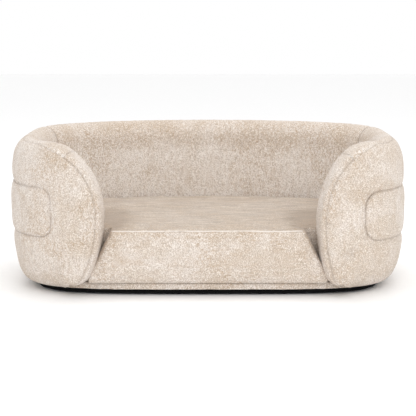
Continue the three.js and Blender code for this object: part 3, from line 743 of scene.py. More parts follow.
def rubber():
    n = Nodes("non_slip_rubber")
    speck = n.noise(500, detail=3.0)
    colour = n.mix(n.ramp(speck, 0.4, 0.7), (0.012, 0.012, 0.012), (0.03, 0.029, 0.028))
    return n.finish(colour, 0.7, speck, distance=0.0003)


def steel(name, tone):
    n = Nodes(name)
    brush = n.noise(180, detail=3.0, stretch=(1, 1, 12))
    wear = n.noise(45, detail=4.0)
    dull = tuple(v * 0.75 for v in tone)
    colour = n.mix(n.ramp(wear, 0.45, 0.7), tone, dull)
    return n.finish(colour, n.ramp(brush, 0.3, 0.7, 0.22, 0.42), brush, distance=0.0001, Metallic=1.0)


def zip_cloth():
    n = Nodes("zip_tape_cloth")
    rib = n.wave(330, 0.4, bands_direction="Z")
    colour = n.mix(rib, (0.52, 0.45, 0.36), (0.66, 0.58, 0.48))
    return n.finish(colour, 0.85, rib, distance=0.0004, Sheen_Weight=0.15)


CHENILLE_LIGHT = (0.78, 0.705, 0.640)
CHENILLE_WARM = (0.68, 0.585, 0.495)
# Pale tuft tips; also the colour of painted light on front-facing lining and of the painted highlight along
# the cushion's welt.
CHENILLE_TIP_AND_HIGHLIGHT = (0.92, 0.87, 0.82)
CHENILLE_TAN = (0.52, 0.385, 0.265)
# Laid-flat pile colours, which also carry painted shade on the seat top, beside the arms and on the tongue's
# sides.
CHENILLE_BRUSHED_SHADE = (0.26, 0.190, 0.130)
CHENILLE_PRESSED_SHADE = (0.60, 0.500, 0.395)
CHENILLE_SHADE = (0.36, 0.285, 0.225)
WELT_HIGHLIGHT = (CUSHION_HIGH.z - 0.0018, TONGUE_FRONT + 0.012)  # painted highlight along the front welt: its height, and how far back it is drawn
MATERIALS = {
    "chenille": chenille("wall_chenille", (1, 1, 0.6)),
    "cushion_chenille": chenille("cushion_chenille", (0.5, 1, 1), welt=WELT_HIGHLIGHT),
    "black_cloth": black_cloth(),
    "plywood": wood("birch_plywood", (0.62, 0.44, 0.25), (0.45, 0.29, 0.15), 14, (1, 1, 0.15)),
    "timber": wood("pine_timber", (0.68, 0.47, 0.26), (0.50, 0.30, 0.14), 22, (0.2, 0.2, 1)),
    "foam": foam(),
    "rubber": rubber(),
    "steel": steel("zinc_plated_steel", (0.62, 0.62, 0.63)),
    "zip_metal": steel("antique_nickel", (0.45, 0.42, 0.38)),
    "zip_tape": zip_cloth(),
}


def dress(obj, slot, body, *stands_for):
    """Gives a piece the material of its slot, hangs it on its body and hides the CAD nodes that it stands
    for.
    """
    obj.data.materials.clear()
    obj.data.materials.append(MATERIALS[slot])
    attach(obj, body)
    if stands_for:
        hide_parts(*stands_for)
    return obj


def dress_cad_nodes():
    """Every CAD node gets its slot's material, whether it stays on show or not."""
    for part in frame["record"]["subparts"]:
        node = frame["nodes"][part["node"]]
        node.data.materials.clear()
        node.data.materials.append(MATERIALS[part["material_slot"]])


def thicken(obj, thickness):
    shell = obj.modifiers.new("Solidify", "SOLIDIFY")
    shell.thickness = thickness
    shell.offset = -1
    shell.use_quality_normals = True
    apply_modifiers(obj)


def apply_modifiers(obj):
    bpy.context.view_layer.update()
    graph = bpy.context.evaluated_depsgraph_get()
    shown = obj.evaluated_get(graph)
    made = bpy.data.meshes.new_from_object(shown, preserve_all_data_layers=True, depsgraph=graph)
    obj.modifiers.clear()
    obj.data = made
    obj.data.shade_smooth()


# ---- Wall panels ----
def all_round(right, left):
    """The right half's columns, then the left half's, from right tip to left tip."""
    return np.concatenate([placed(right), placed(left, mirror=True)[::-1][1:]])


def make_wall_panels():
    halves = {side: Half(side) for side in ("right", "left")}
    outer, inner, crown = {}, {}, {}
    for side, half in halves.items():
        columns = range(COLUMNS + 1)
        outer[side] = [half.face(c, False) for c in columns]
        inner[side] = [half.face(c, True) for c in columns]
        crown[side] = [half.over_edge(c, True) for c in columns]
    whole = all_round(outer["right"], outer["left"])
    panels = {"outer_cover": mesh_from_grids("outer_cover_cloth", [(whole, False)])}
    split = halves["right"].split
    back_crown = all_round(crown["right"][split:], crown["left"][split:])
    back_face = all_round(inner["right"][split:], inner["left"][split:])
    panels["lining_back"] = mesh_from_grids("lining_back_cloth", [(back_crown, False), (back_face, True)])
    WALL_SEAMS.add(back_crown[:, 0], CROWN_SEAM_DEPTH)
    for side, half in halves.items():
        mirror = half.mirror
        over = placed(crown[side][half.band_top : split + 1], mirror)
        face = placed(inner[side][: split + 1], mirror)
        grids = [(over, mirror), (face, not mirror)]
        panels[f"lining_{side}"] = mesh_from_grids(f"lining_{side}_cloth", grids)
        under = [half.over_edge(c, False) for c in range(half.corner, 0, -1)]
        band = placed(under + crown[side][: half.band_top + 1], mirror)
        panels[f"end_band_{side}"] = mesh_from_grids(f"end_band_{side}_cloth", [(band, mirror)])
        WALL_SEAMS.add(band[:, 0], BAND_SEAM_DEPTH)
        WALL_SEAMS.add(band[:, -1], BAND_SEAM_DEPTH)
        WALL_SEAMS.add(over[:, 0], CROWN_SEAM_DEPTH)
        WALL_SEAMS.add(over[-1], SPLIT_SEAM_DEPTH)
        WALL_SEAMS.add(face[-1], SPLIT_SEAM_DEPTH)
    return panels


def make_creases():
    """Creases pressed into the cloth: middle point, direction, half length and depth of each."""
    arm = place(s_at_x(0.292), 0.096, 0.0)
    arm_run = unit(place(s_at_x(0.31), 0.0955, 0.0) - place(s_at_x(0.27), 0.0965, 0.0))
    back_s = s_at_angle(62)
    back = place(back_s, 0.215, WALL) * MIRROR
    back_run = unit(np.array([1.0, 0.15, 0.05]))
    return [(arm, arm_run, 0.017, 0.0016), (back, back_run, 0.022, 0.0013)]


def crease_relief(points):
    total = np.zeros(len(points))
    for middle, run, half, deep in make_creases():
        offset = points - middle
        along = offset @ run
        across = np.linalg.norm(offset - along[:, None] * run, axis=1)
        past = np.maximum(np.abs(along) - half, 0)
        total -= deep * bell(across / CREASE_WIDE) * bell(past / CREASE_FADE)
        total += CREASE_LIP * deep * bell((across - 0.008) / 0.005) * bell(past / 0.008)
    return total


def soften_tips(panel):
    """Evens out the cloth round each arm's tip, where rim and under arc meet. Its edges stay in place."""
    made = bmesh.new()
    made.from_mesh(panel.data)
    tips = [Vector(place(s_at_x(x), z, 0.0) * (SIGNS[side], 1, 1)) for side, (x, z, _) in ARM_TIPS.items()]
    inside = [v for v in made.verts if not v.is_boundary]
    near = [v for v in inside if min((v.co - tip).length for tip in tips) < TIP_SOFT]
    for _ in range(12):
        bmesh.ops.smooth_vert(made, verts=near, factor=0.5, use_axis_x=True, use_axis_y=True, use_axis_z=True)
    made.to_mesh(panel.data)
    made.free()
    panel.data.update()


def relax_panel(panel):
    """Moves a panel from the drafted surface to the upholstered one: uneven padding, seams, puckers."""
    soften_tips(panel)
    points = coords(panel)
    facing = normals(panel)
    distance, along, depth = WALL_SEAMS.measure(points)
    free = smooth(distance / PADDING_FREE)
    uneven = sum(high * noise_at(points, size, seed) for size, high, seed in WALL_SWELLS)
    move = seam_relief(distance, along, depth) + (uneven + PADDING_PROUD) * free + crease_relief(points)
    hem = smooth((BOARD_BOTTOM + HEM_STILL - points[:, 2]) / HEM_STILL)
    move *= 1 - hem
    push_out(panel, move)
    # Painted shade along each seam's groove.
    set_float(panel, "seam", bell(distance / SEAM_LINE) * depth)
    rim = smooth((points[:, 2] - (BACK_HEIGHT - 0.085)) / 0.05) * smooth(points[:, 1] / 0.08)
    set_float(panel, "worn", rim)
    # Painted light: lining faces turned towards the front are made paler, as if lit from the front, except
    # near the rim.
    faces_front = smooth((-facing[:, 1] - 0.2) / 0.5) * panel.name.startswith("lining")
    set_float(panel, "front_lit", 0.75 * faces_front * (1 - rim))


# ---- Side pads ----
def pad_outline_s():
    start = float(s_at_x(PAD_FRONT_X))
    middle = s_at_angle(0)
    return start, 2 * middle - start


def pad_point(u, v, side):
    """(along, height) of a point of the pad's rounded rectangle; u along and v up run from -1 to 1."""
    start, end = pad_outline_s()
    low, high = (corner.z for corner in PAD_BOXES[side])
    half_s, half_z = (end - start) / 2, (high - low) / 2
    s, z = u * half_s, v * half_z
    corner_s, corner_z = half_s - PAD_CORNERS[side], half_z - PAD_CORNERS[side]
    over_s = np.maximum(np.abs(s) - corner_s, 0)
    over_z = np.maximum(np.abs(z) - corner_z, 0)
    shrink = np.maximum(over_s, over_z) / np.maximum(np.hypot(over_s, over_z), 1e-9)
    in_corner = (over_s > 0) & (over_z > 0)
    s = np.where(in_corner, np.sign(s) * (corner_s + over_s * shrink), s)
    z = np.where(in_corner, np.sign(z) * (corner_z + over_z * shrink), z)
    return (start + end) / 2 + s, (low + high) / 2 + z


def pad_edge(side):
    t = np.linspace(-1, 1, 60)
    ones = np.ones_like(t)
    u = np.concatenate([t, ones, -t, -ones])
    v = np.concatenate([-ones, t, ones, -t])
    s, z = pad_point(u, v, side)
    line = place(s, z, 0.0)
    return line * MIRROR if side == "left" else line


def make_pad(side):
    """A padded pocket: its face is blown up by the simulation while its stitched edge is held."""
    u = np.linspace(-1, 1, PAD_STEPS[0])[:, None] * np.ones(PAD_STEPS[1])
    v = np.ones(PAD_STEPS[0])[:, None] * np.linspace(-1, 1, PAD_STEPS[1])
    s, z = pad_point(u, v, side)
    edge = np.minimum(1 - np.abs(u), (1 - np.abs(v)) * 0.25)
    face = place(s, z, PAD_EDGE_DEPTH - PAD_START_HEIGHT * smooth(edge / 0.06))
    mirror = side == "left"
    if mirror:
        face = face * MIRROR
    pad = mesh_from_grids(f"side_pad_{side}_cloth", [(face, mirror)])
    pad.vertex_groups.new(name="held").add(boundary(pad), 1.0, "REPLACE")
    return pad


def boundary(obj):
    made = bmesh.new()
    made.from_mesh(obj.data)
    found = [v.index for v in made.verts if v.is_boundary]
    made.free()
    return found


def add_cloth(obj, pressure, spare, stiffness=15.0):
    cloth = obj.modifiers.new("Cloth", "CLOTH")
    cloth.settings.quality = 5
    cloth.settings.mass = 0.3
    cloth.settings.use_pressure = True
    cloth.settings.uniform_pressure_force = pressure
    cloth.settings.tension_stiffness = stiffness
    cloth.settings.compression_stiffness = stiffness
    cloth.settings.bending_stiffness = 0.4
    cloth.settings.shrink_min = -spare
    cloth.settings.effector_weights.gravity = 0
    cloth.settings.vertex_group_mass = "held"
    cloth.collision_settings.use_collision = False
    cloth.point_cache.frame_start = 1
    cloth.point_cache.frame_end = SIM_FRAMES
    return cloth


def simulate(pieces):
    """Runs every Cloth together and returns each piece's simulated points."""
    for piece, pressure, spare in pieces:
        add_cloth(piece, pressure, spare)
    scene = bpy.context.scene
    for step in range(1, SIM_FRAMES + 1):
        scene.frame_set(step)
    graph = bpy.context.evaluated_depsgraph_get()
    results = []
    for piece, _, _ in pieces:
        shown = piece.evaluated_get(graph)
        moved = np.zeros(len(shown.data.vertices) * 3, np.float64)
        shown.data.vertices.foreach_get("co", moved)
        results.append(moved.reshape(-1, 3))
    for piece, _, _ in pieces:
        piece.modifiers.clear()
    scene.frame_set(1)
    return results


def capped(before, after, limit):
    """The simulated points, none further than a limit from where it started."""
    move = after - before
    length = np.linalg.norm(move, axis=1, keepdims=True)
    return before + move * (limit * np.tanh(length / limit) / np.maximum(length, 1e-9))


def finish_pad(pad, moved):
    start = coords(pad)
    set_coords(pad, capped(start, moved, PAD_RISE_LIMIT))
    points = coords(pad)
    distance = PAD_SEAMS.measure(points)[0]
    push_out(pad, 0.0005 * noise_at(points, 0.035, 5) * smooth(distance / 0.02))
    # Painted shade along the pad's stitching.
    set_float(pad, "seam", 0.7 * bell(distance / PAD_SEAM_LINE))
    thicken(pad, PAD_CLOTH)


PAD_SEAMS = Seams()


def press_pad_bed(cover):
    """The cover dips along each pad's stitching, and lies a little lower under the pad."""
    points = coords(cover)
    distance, along, _ = PAD_SEAMS.measure(points)
    rear_y = -place(pad_outline_s()[0], 0, 0)[1]
    x_abs = np.abs(points[:, 0])
    on_right = points[:, 0] > 0
    low, high = (np.where(on_right, PAD_BOXES["right"][i].z, PAD_BOXES["left"][i].z) for i in (0, 1))
    inside_z = (points[:, 2] > low + 0.004) & (points[:, 2] < high - 0.004)
    inside_s = (x_abs > PAD_FRONT_X + 0.003) & (points[:, 1] < rear_y - 0.002)
    under = smooth(distance / 0.010) * (inside_z & inside_s)
    pulled = 0.0015 * bell(distance / 0.012)
    move = seam_relief(distance, along, 0.9) - pulled - PAD_BED_DEPTH * under
    push_out(cover, move)
    # Painted shade along each pad's stitching on the cover.
    seam = np.maximum(get_float(cover, "seam"), 0.6 * bell(distance / PAD_SEAM_LINE))
    set_float(cover, "seam", seam)


# ---- Front rail ----
def make_rail():
    """The cloth-covered front edge of the base board, rolled over its top edge and turned under."""
    face, foot, top = RAIL_INSET, BOARD_BOTTOM, RAIL_HIGH.z + 0.0002
    section = [(face + 0.010, foot - 0.0012), (face + 0.005, foot - RAIL_UNDER)]
    for turn in (0.5, 1.0, 1.57):
        section.append((face + 0.0012 * (1 - math.sin(turn)), foot - RAIL_UNDER * math.cos(turn)))
    for t in (0.3, 0.6, 1.0):
        section.append((face - RAIL_BULGE * math.sin(t * math.pi), foot + t * RAIL_STRAIGHT))
    for turn in np.linspace(0, math.pi / 2, 9)[1:]:
        section.append((face + RAIL_ROUND * (1 - math.cos(turn)), top - RAIL_ROUND * (1 - math.sin(turn))))
    for reach, drop in ((0.010, 0.0), (0.020, 0.0001), (0.027, 0.0002)):
        section.append((face + RAIL_ROUND + reach, top - drop))
    end = float(s_at_x(RAIL_HIGH.x + RAIL_PAST_END))
    stations = np.linspace(-end, end, RAIL_STATIONS)
    columns = []
    for s in stations:
        base = place(abs(s), 0, 0)
        normal = outward(abs(s))
        if s < 0:
            base, normal = base * MIRROR, normal * MIRROR
        columns.append([base - normal * inset + np.array([0, 0, z]) for inset, z in section])
    rail = mesh_from_grids("front_rail_cloth", [(np.array(columns), False)])
    points = coords(rail)
    move = 0.0006 * noise_at(points, 0.030, 8) + 0.0003 * noise_at(points, 0.012, 9)
    top_side = smooth((points[:, 2] - (top - 0.002)) / 0.002)
    push_out(rail, move * (1 - top_side))
    # Painted shade: the rail's top, which runs in under the cushion's front, is darkened through the seam
    # mark.
    set_float(rail, "seam", 0.5 * smooth((points[:, 2] - (top - 0.003)) / 0.003))
    thicken(rail, RAIL_CLOTH)
    return rail


# ---- Cushion ----
def band_x(z):
    """How far from the middle the arm's end edge is at a height below its tip."""
    return TIP_X + UNDER_RADIUS - math.sqrt(UNDER_RADIUS**2 - (TIP_Z - z) ** 2)


def tongue_half(z):
    widest = band_x(max(z, LINING_BOTTOM)) - BAND_CLEAR
    return min(widest, lerp(band_x(LINING_BOTTOM) - BAND_CLEAR, TONGUE_TOP_HALF, min(1, max(0, level_of(z)))))


def level_of(z):
    """A height as a share of the cushion's own, 0 at its bottom and 1 at its top."""
    return (z - CUSHION_LOW.z) / (CUSHION_HIGH.z - CUSHION_LOW.z)


def zip_arc(degrees, inset):
    radius = ZIP_ARC_RADIUS - inset
    a = math.radians(degrees)
    return np.array([radius * math.sin(a), ZIP_ARC_Y - ZIP_ARC_RADIUS + radius * math.cos(a)])


def cushion_half(z, shrink):
    """Half of the cushion's outline at a height, from the middle of its front to the middle of its back."""
    half = tongue_half(z) - shrink
    front = TONGUE_FRONT + shrink
    points = [np.array([half * t, front]) for t in np.linspace(0, 1 - TONGUE_CORNER / half, 12)]
    for turn in np.linspace(-math.pi / 2, 0, 8)[1:]:
        x = half - TONGUE_CORNER * (1 - math.cos(turn))
        points.append(np.array([x, front + TONGUE_CORNER * (1 + math.sin(turn))]))
    inset = WALL + WELL_CLEAR + shrink
    side = [place(s, 0, inset)[:2] for s in np.linspace(0, S_BACK, 200)]
    shoulder = TONGUE_TOP_HALF + SHOULDER_OUT
    bow_end = zip_arc(BOW_ANGLES[0], 0)[0] + BOW_CLEAR
    side = [p for p in side if (p[1] > 0 or p[0] > shoulder) and (p[1] < 0 or p[0] > bow_end)]
    neck = np.array([half + NECK_OUT, lerp(points[-1][1], side[0][1], 0.72)])
    return points + [neck] + side[::3] + [zip_arc(a, shrink) for a in BOW_ANGLES]


def cushion_loop(z, shrink):
    half = cushion_half(z, shrink)
    return half + [p * (-1, 1) for p in half[-2:0:-1]]


def seat_rise(y, z):
    """The top rises a little towards the back, where the cushion is pushed up by the wall."""
    return SEAT_RISE * float(smooth(level_of(z)) * smooth((y - TONGUE_FRONT) / 0.42))


def cushion_ring(z, shrink):
    """A closed ring round the cushion; its upper rings rise towards the back."""
    return [(*p, z + seat_rise(p[1], z)) for p in cushion_loop(z, shrink)]


def cushion_blank():
    """The cushion's closed shape before it is filled: a boxed pad with a tongue that widens downwards."""
    low, high = CUSHION_LOW.z + 0.0008, CUSHION_HIGH.z - 0.0010
    levels = [(low, 0.0015), (low + 0.004, 0.0)]
    levels += [(lerp(low + 0.004, high - EDGE_IN, t), 0.0) for t in (0.2, 0.4, 0.6, 0.8)]
    levels += [(high - EDGE_IN, 0.0), (high, EDGE_IN)]
    made = bmesh.new()
    loops = [[made.verts.new(p) for p in cushion_ring(*level)] for level in levels]
    for lower, upper in zip(loops, loops[1:]):
        bridge(made, lower, upper)
    made.faces.new(loops[0][::-1])
    made.faces.new(loops[-1])
    bmesh.ops.recalc_face_normals(made, faces=made.faces)
    obj = object_from(made, "seat_cushion_cloth")
    remesh = obj.modifiers.new("Remesh", "REMESH")
    remesh.mode = "VOXEL"
    remesh.voxel_size = CUSHION_VOXEL
    apply_modifiers(obj)
    return obj


def bridge(made, first, second):
    """A band of quads between two rings of vertices."""
    for i, j in zip(range(len(first)), [*range(1, len(first)), 0]):
        made.faces.new((first[i], first[j], second[j], second[i]))


CUSHION_SEAMS = Seams()


def add_cushion_seams():
    for z, depth in ((CUSHION_HIGH.z - EDGE_IN, 1.0), (CUSHION_LOW.z + EDGE_IN, 0.8)):
        ring = cushion_ring(z, 0.0)
        CUSHION_SEAMS.add(ring + ring[:1], depth)


def make_cushion():
    add_cushion_seams()
    cushion = cushion_blank()
    points = coords(cushion)
    distance, along, _ = CUSHION_SEAMS.measure(points)
    set_float(cushion, "seam", distance)
    set_float(cushion, "along", along)
    held = (distance < CUSHION_HELD) | (points[:, 2] < CUSHION_LOW.z + 0.004)
    cushion.vertex_groups.new(name="held").add(np.nonzero(held)[0].tolist(), 1.0, "REPLACE")
    return cushion


def finish_cushion(cushion, moved):
    points = capped(coords(cushion), moved, CUSHION_RISE_LIMIT)
    points[:, 2] = np.clip(points[:, 2], CUSHION_LOW.z + 0.0003, CUSHION_HIGH.z + SEAT_RISE + 0.004)
    set_coords(cushion, keep_in_well(points))
    finer = cushion.modifiers.new("Subdivision", "SUBSURF")
    finer.levels = finer.render_levels = 1
    apply_modifiers(cushion)
    points = coords(cushion)
    distance = get_float(cushion, "seam")
    upper = points[:, 2] > middle_of((CUSHION_LOW, CUSHION_HIGH)).z
    move = seam_relief(distance, get_float(cushion, "along"), np.where(upper, 0.25, 0.8))
    move += 0.0010 * noise_at(points, 0.06, 11) * smooth(distance / 0.025)
    move += WELT_HEIGHT * upper * bell(distance / WELT_WIDTH)  # the top seam stands up as a welt
    move += back_wrinkles(points)
    move *= smooth((points[:, 2] - CUSHION_LOW.z) / 0.010)
    points = keep_in_well(points + normals(cushion) * move[:, None])
    overhang = smooth((RAIL_LOW.y - 0.0015 - points[:, 1]) / 0.004)
    points[:, 2] -= FRONT_DROOP * overhang * smooth((CUSHION_LOW.z + 0.045 - points[:, 2]) / 0.040)
    set_coords(cushion, points)
    carve_zip_channel(cushion)
    mark_cushion(cushion, distance, upper)


def mark_cushion(cushion, distance, upper):
    """Where the cushion's pile lies flat and painted shade falls: partly on the seat top, wholly on the seat
    beside the arms and on the tongue's sides. Also where its front edge is worn, and the painted shade along
    its bottom seam.
    """
    x, y, z = coords(cushion).T
    facing = normals(cushion)
    # Painted shade: the seat top is darkened partly as laid-flat pile and partly as shade, the seat beside
    # the arms and the tongue's sides wholly as shade.
    top = smooth((facing[:, 2] - 0.55) / 0.3)
    arm_shade = smooth((np.abs(x) - 0.155) / 0.07) * smooth((0.02 - y) / 0.16)
    tongue_side_shade = smooth((np.abs(facing[:, 0]) - 0.5) / 0.3) * smooth((-0.15 - y) / 0.05)
    set_float(cushion, "nap_and_shade", np.clip(top * (0.72 + 0.9 * arm_shade) + 1.1 * tongue_side_shade, 0, 1.3))
    near_front = bell((y - TONGUE_FRONT - 0.01) / 0.035)
    set_float(cushion, "worn", near_front * smooth((z - 0.10) / 0.03))
    # Painted shade along the bottom seam; the upper seam gets none.
    set_float(cushion, "seam", np.where(upper, 0.0, bell(distance / 0.003) * 0.8))


def keep_in_well(points):
    """Holds the cushion's points inside the lining, and between the arms inside the tongue's outline."""
    half = np.stack([np.abs(points[:, 0]), points[:, 1]], -1)
    index = nearest([(*p, 0) for p in half], tree_with([(*p, 0) for p in PLAN[::6]]))[0] * 6
    out = PLAN_OUT[index]
    inset = np.sum((PLAN[index] - half) * out, axis=1)
    between_arms = half[:, 1] < WALL + PASSAGE - FRONT_REACH
    push = np.where(between_arms, 0.0, np.maximum(WALL + WELL_SKIN - inset, 0))
    moved = half - out * push[:, None]
    widest = np.array([tongue_half(z) for z in points[:, 2]]) + WELL_SKIN
    moved[:, 0] = np.where(between_arms, np.minimum(moved[:, 0], widest), moved[:, 0])
    sign = np.where(points[:, 0] < 0, -1.0, 1.0)
    return np.stack([moved[:, 0] * sign, moved[:, 1], points[:, 2]], -1)


def back_wrinkles(points):
    """Long low folds along the back of the seat's top, where the cushion is pushed into the well."""
    top = smooth((points[:, 2] - (CUSHION_HIGH.z - 0.012)) / 0.008)
    back = smooth((points[:, 1] - 0.06) / 0.12)
    stretched = points * np.array([0.16, 1.0, 0.0])
    return 0.0030 * top * back * noise_at(stretched, 0.016, 14)


def carve_zip_channel(cushion):
    points = coords(cushion)
    centre_y = ZIP_ARC_Y - ZIP_ARC_RADIUS
    radius = np.hypot(points[:, 0], points[:, 1] - centre_y)
    angle = np.degrees(np.arctan2(points[:, 0], points[:, 1] - centre_y))
    across = smooth((ZIP_CHANNEL_HIGH / 2 + 0.002 - np.abs(points[:, 2] - ZIP_Z)) / CHANNEL_FADE)
    ends = smooth((ZIP_HALF_ANGLE + 0.4 - np.abs(angle)) / 0.6)
    floor = ZIP_ARC_RADIUS - ZIP_CHANNEL_DEEP - CHANNEL_SPARE
    deep = np.maximum(radius - floor, 0) * across * ends * (points[:, 1] > 0.1)
    scale = (radius - deep) / radius
    points[:, 0] *= scale
    points[:, 1] = centre_y + (points[:, 1] - centre_y) * scale
    set_coords(cushion, points)


# ---- Zip ----
def ring_part(name, half_angle, inner, outer, low, high, steps):
    """A bar that follows the zip's arc, as a closed box section."""
    columns = []
    for angle in np.linspace(-half_angle, half_angle, steps):
        corners = [(inner, low), (inner, high), (outer, high), (outer, low), (inner, low)]
        columns.append([(*zip_arc(angle, inset), z) for inset, z in corners])
    obj = mesh_from_grids(name, [(np.array(columns), False)])
    cap_ends(obj)
    return obj


def cap_ends(obj):
    made = bmesh.new()
    made.from_mesh(obj.data)
    bmesh.ops.holes_fill(made, edges=[e for e in made.edges if e.is_boundary], sides=0)
    bmesh.ops.recalc_face_normals(made, faces=made.faces)
    made.to_mesh(obj.data)
    made.free()


def on_arc(points, angle, centre):
    """Points turned to face out of the zip's arc at an angle, and moved to a centre."""
    turn = math.radians(-angle)
    x, y, z = points.T
    across = x * math.cos(turn) - y * math.sin(turn)
    return np.stack([across, x * math.sin(turn) + y * math.cos(turn), z], -1) + np.array(centre)


def box_part(name, size, centre, angle, bevel):
    """A bevelled block on the zip's arc."""
    made = bmesh.new()
    bmesh.ops.create_cube(made, size=1)
    bmesh.ops.scale(made, verts=made.verts, vec=size)
    bmesh.ops.bevel(made, geom=made.edges, offset=bevel, segments=3, profile=0.6, affect="EDGES")
    obj = object_from(made, name)
    set_coords(obj, on_arc(coords(obj), angle, centre))
    return obj


def join(parts, name):
    """One object from several meshes that share a frame."""
    made = bmesh.new()
    for part in parts:
        made.from_mesh(part.data)
        bpy.data.objects.remove(part)
    return object_from(made, name)


def make_zip():
    low, high = ZIP_Z - TAPE_HIGH / 2, ZIP_Z + TAPE_HIGH / 2
    tape_half = ZIP_HALF_ANGLE - TAPE_END
    far = ZIP_CHANNEL_DEEP + TAPE_THICK
    tape = ring_part("zip_tape_cloth", tape_half, ZIP_CHANNEL_DEEP, far, low, high, 60)
    dress(tape, "zip_tape", "cushion", "zip_tape")
    slider_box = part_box("zip_slider")
    last = ZIP_HALF_ANGLE - TOOTH_END
    count = int(math.radians(2 * last) * ZIP_ARC_RADIUS / TOOTH_PITCH)
    teeth = []
    for i, angle in enumerate(np.linspace(-last, last, count)):
        z = middle_of(slider_box).z + (TOOTH_STAGGER if i % 2 else -TOOTH_STAGGER)
        spot = (*zip_arc(angle, ZIP_CHANNEL_DEEP - 0.0002), z)
        teeth.append(box_part(f"tooth_{i}", TOOTH_SIZE, spot, angle, 0.0001))
    dress(join(teeth, "zip_chain"), "zip_tape", "cushion")
    make_slider(slider_box)


def make_slider(slider_box):
    """The zip's slider with its bridge, and the pull with a hole that hangs from it."""
    z = middle_of(slider_box).z
    parts = []
    for name, size, out, bevel in SLIDER_PARTS:
        spot = (*zip_arc(SLIDER_ANGLE, deep_of(slider_box) - out), z)
        parts.append(box_part(name, size, spot, SLIDER_ANGLE, bevel))
    dress(join(parts, "zip_slider_metal"), "zip_metal", "zip_slider", "zip_slider")
    pull_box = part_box("zip_pull")
    pull = pull_plate(pull_box[1].z - pull_box[0].z)
    spot = (*zip_arc(SLIDER_ANGLE, deep_of(pull_box)), middle_of(pull_box).z)
    set_coords(pull, on_arc(coords(pull), SLIDER_ANGLE, spot))
    dress(pull, "zip_metal", "zip_slider", "zip_pull")


def deep_of(box):
    """How far in from the cushion's rear arc the middle of a box on the zip lies."""
    middle = middle_of(box)
    return ZIP_ARC_RADIUS - math.hypot(middle.x, middle.y - (ZIP_ARC_Y - ZIP_ARC_RADIUS))


def pull_plate(high):
    """A tapered zip pull with a rounded end and a hole."""
    outer, inner = [], []
    for a in np.linspace(0, 2 * math.pi, 29)[:-1]:
        x, z = math.sin(a), math.cos(a)
        width = lerp(0.0022, 0.0030, 0.5 - 0.5 * z)
        outer.append((width * math.copysign(abs(x) ** 0.6, x), high / 2 * math.copysign(abs(z) ** 0.6, z)))
        inner.append((0.0011 * x, -high * 0.24 + 0.0020 * z))
    made = bmesh.new()
    layers = []
    for y, grow in PULL_LAYERS:
        ring_out = [made.verts.new((x * grow, y, z * grow)) for x, z in outer]
        ring_in = [made.verts.new((x * (2 - grow), y, z)) for x, z in inner]
        layers.append((ring_out, ring_in))
    for (out_a, in_a), (out_b, in_b) in zip(layers, layers[1:]):
        bridge(made, out_a, out_b)
        bridge(made, in_b, in_a)
    bridge(made, *layers[0])
    bridge(made, *layers[-1])
    bmesh.ops.recalc_face_normals(made, faces=made.faces)
    return object_from(made, "zip_pull_metal")


# ---- Foam, cut to lie under its cloth ----
def fitted_foam(node, body, tree, clearance=0.0028):
    """A finer copy of a CAD foam piece, with every point that would show pushed in under the cloth."""
    made = bmesh.new()
    made.from_mesh(frame["nodes"][node].data)
    bmesh.ops.remove_doubles(made, verts=made.verts, dist=1e-5)
    for _ in range(3):
        long_edges = [e for e in made.edges if e.calc_length() > FOAM_EDGE]
        bmesh.ops.subdivide_edges(made, edges=long_edges, cuts=1)
        bmesh.ops.triangulate(made, faces=made.faces)
    for v in made.verts:
        spot, facing = tree.find_nearest(v.co, FOAM_REACH)[:2]
        if spot is not None and (v.co - spot).dot(facing) > -clearance:
            v.co = spot - facing * clearance
    obj = object_from(made, node + "_cut")
    dress(obj, "foam", body, node)
    return obj


def tree_of(objects):
    points, polygons, offset = [], [], 0
    for obj in objects:
        points.extend(v.co.copy() for v in obj.data.vertices)
        polygons.extend([i + offset for i in p.vertices] for p in obj.data.polygons)
        offset += len(obj.data.vertices)
    return BVHTree.FromPolygons(points, polygons)


# ---- Feet ----
def make_feet():
    """Round non-slip pads with a softened edge and a shallow dish."""
    for number in range(1, 7):
        low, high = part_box(f"non_slip_foot_{number}")
        centre = middle_of((low, high))
        radius = (high.x - low.x) / 2
        flat, dish, edge = radius - FOOT_EDGE, low.z + FOOT_DISH, FOOT_EDGE
        profile = [(0.0, dish), (radius * 0.7, dish), (radius * 0.78, low.z), (flat, low.z)]
        profile += [(radius, low.z + edge), (radius, high.z - edge), (flat, high.z), (0.0, high.z)]
        columns = []
        for a in np.linspace(0, 2 * math.pi, 49):
            columns.append([(centre.x + r * math.cos(a), centre.y + r * math.sin(a), z) for r, z in profile])
        foot = mesh_from_grids(f"non_slip_pad_{number}", [(np.array(columns), False)])
        cap_ends(foot)
        dress(foot, "rubber", "bed", f"non_slip_foot_{number}")


# ---- Scene ----
def make_camera():
    camera = linked("camera", bpy.data.cameras.new("camera"))
    rise = CAMERA_AIM + CAMERA_FAR * math.sin(CAMERA_TILT)
    camera.location = (0, -CAMERA_FAR * math.cos(CAMERA_TILT), rise)
    camera.rotation_euler = (math.pi / 2 - CAMERA_TILT, 0, 0)
    camera.data.sensor_width = 36
    camera.data.lens = CAMERA_LENS
    bpy.context.scene.camera = camera


def area_light(name, place_at, aim_at, size, power):
    light = bpy.data.lights.new(name, "AREA")
    light.shape = "RECTANGLE"
    light.size, light.size_y = size
    light.energy = power
    obj = linked(name, light)
    obj.location = place_at
    obj.rotation_euler = (Vector(aim_at) - Vector(place_at)).to_track_quat("-Z", "Y").to_euler()


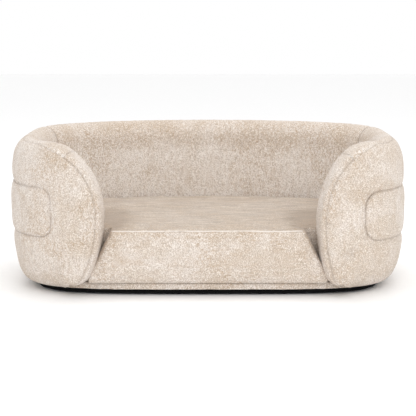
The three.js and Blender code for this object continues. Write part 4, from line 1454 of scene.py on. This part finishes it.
def make_stage():
    far = FLOOR_HALF
    mesh = bpy.data.meshes.new("floor")
    mesh.from_pydata([(-far, -far, 0), (far, -far, 0), (far, far, 0), (-far, far, 0)], [], [(0, 1, 2, 3)])
    floor = linked("floor", mesh)
    n = Nodes("studio_floor")
    speck = n.noise(40, detail=2.0)
    colour = n.mix(n.ramp(speck, 0.3, 0.7), (0.97, 0.97, 0.97), (0.95, 0.95, 0.95))
    floor.data.materials.append(n.finish(colour, 0.6))
    world = bpy.data.worlds.new("studio")
    world.use_nodes = True
    background = world.node_tree.nodes["Background"]
    background.inputs["Color"].default_value = (1, 1, 1, 1)
    background.inputs["Strength"].default_value = 1.0
    bpy.context.scene.world = world
    for light in LIGHTS:
        area_light(*light)
    bpy.context.scene.view_settings.view_transform = "Standard"


def finish_wall(panels):
    """Thickness and material of each wall panel, once nothing moves its points any more."""
    for node, panel in panels.items():
        thicken(panel, CLOTH_THICK)
        dress(panel, "chenille", "bed", node)


def main():
    dress_cad_nodes()
    make_camera()
    make_stage()
    panels = make_wall_panels()
    for side in PAD_BOXES:
        PAD_SEAMS.add(pad_edge(side))
    for panel in panels.values():
        relax_panel(panel)
    press_pad_bed(panels["outer_cover"])
    pads = {side: make_pad(side) for side in PAD_BOXES}
    cushion = make_cushion()
    pieces = [(pad, *PAD_FILL) for pad in pads.values()] + [(cushion, *CUSHION_FILL)]
    results = simulate(pieces)
    for pad, moved in zip(pads.values(), results):
        finish_pad(pad, moved)
    finish_cushion(cushion, results[-1])

    skin = tree_of(panels.values())
    for node in (*OUTER_FOAM, "arm_end_foam_left", "arm_end_foam_right"):
        fitted_foam(node, "bed", skin)
    fitted_foam("cushion_foam", "cushion", tree_of([cushion]), clearance=0.007)
    finish_wall(panels)
    for side, pad in pads.items():
        dress(pad, "chenille", "bed", f"side_pad_{side}")
    rail = make_rail()
    dress(rail, "chenille", "bed", "front_rail_cover")
    dress(cushion, "cushion_chenille", "cushion", "cushion_cover")
    make_zip()
    make_feet()


main()
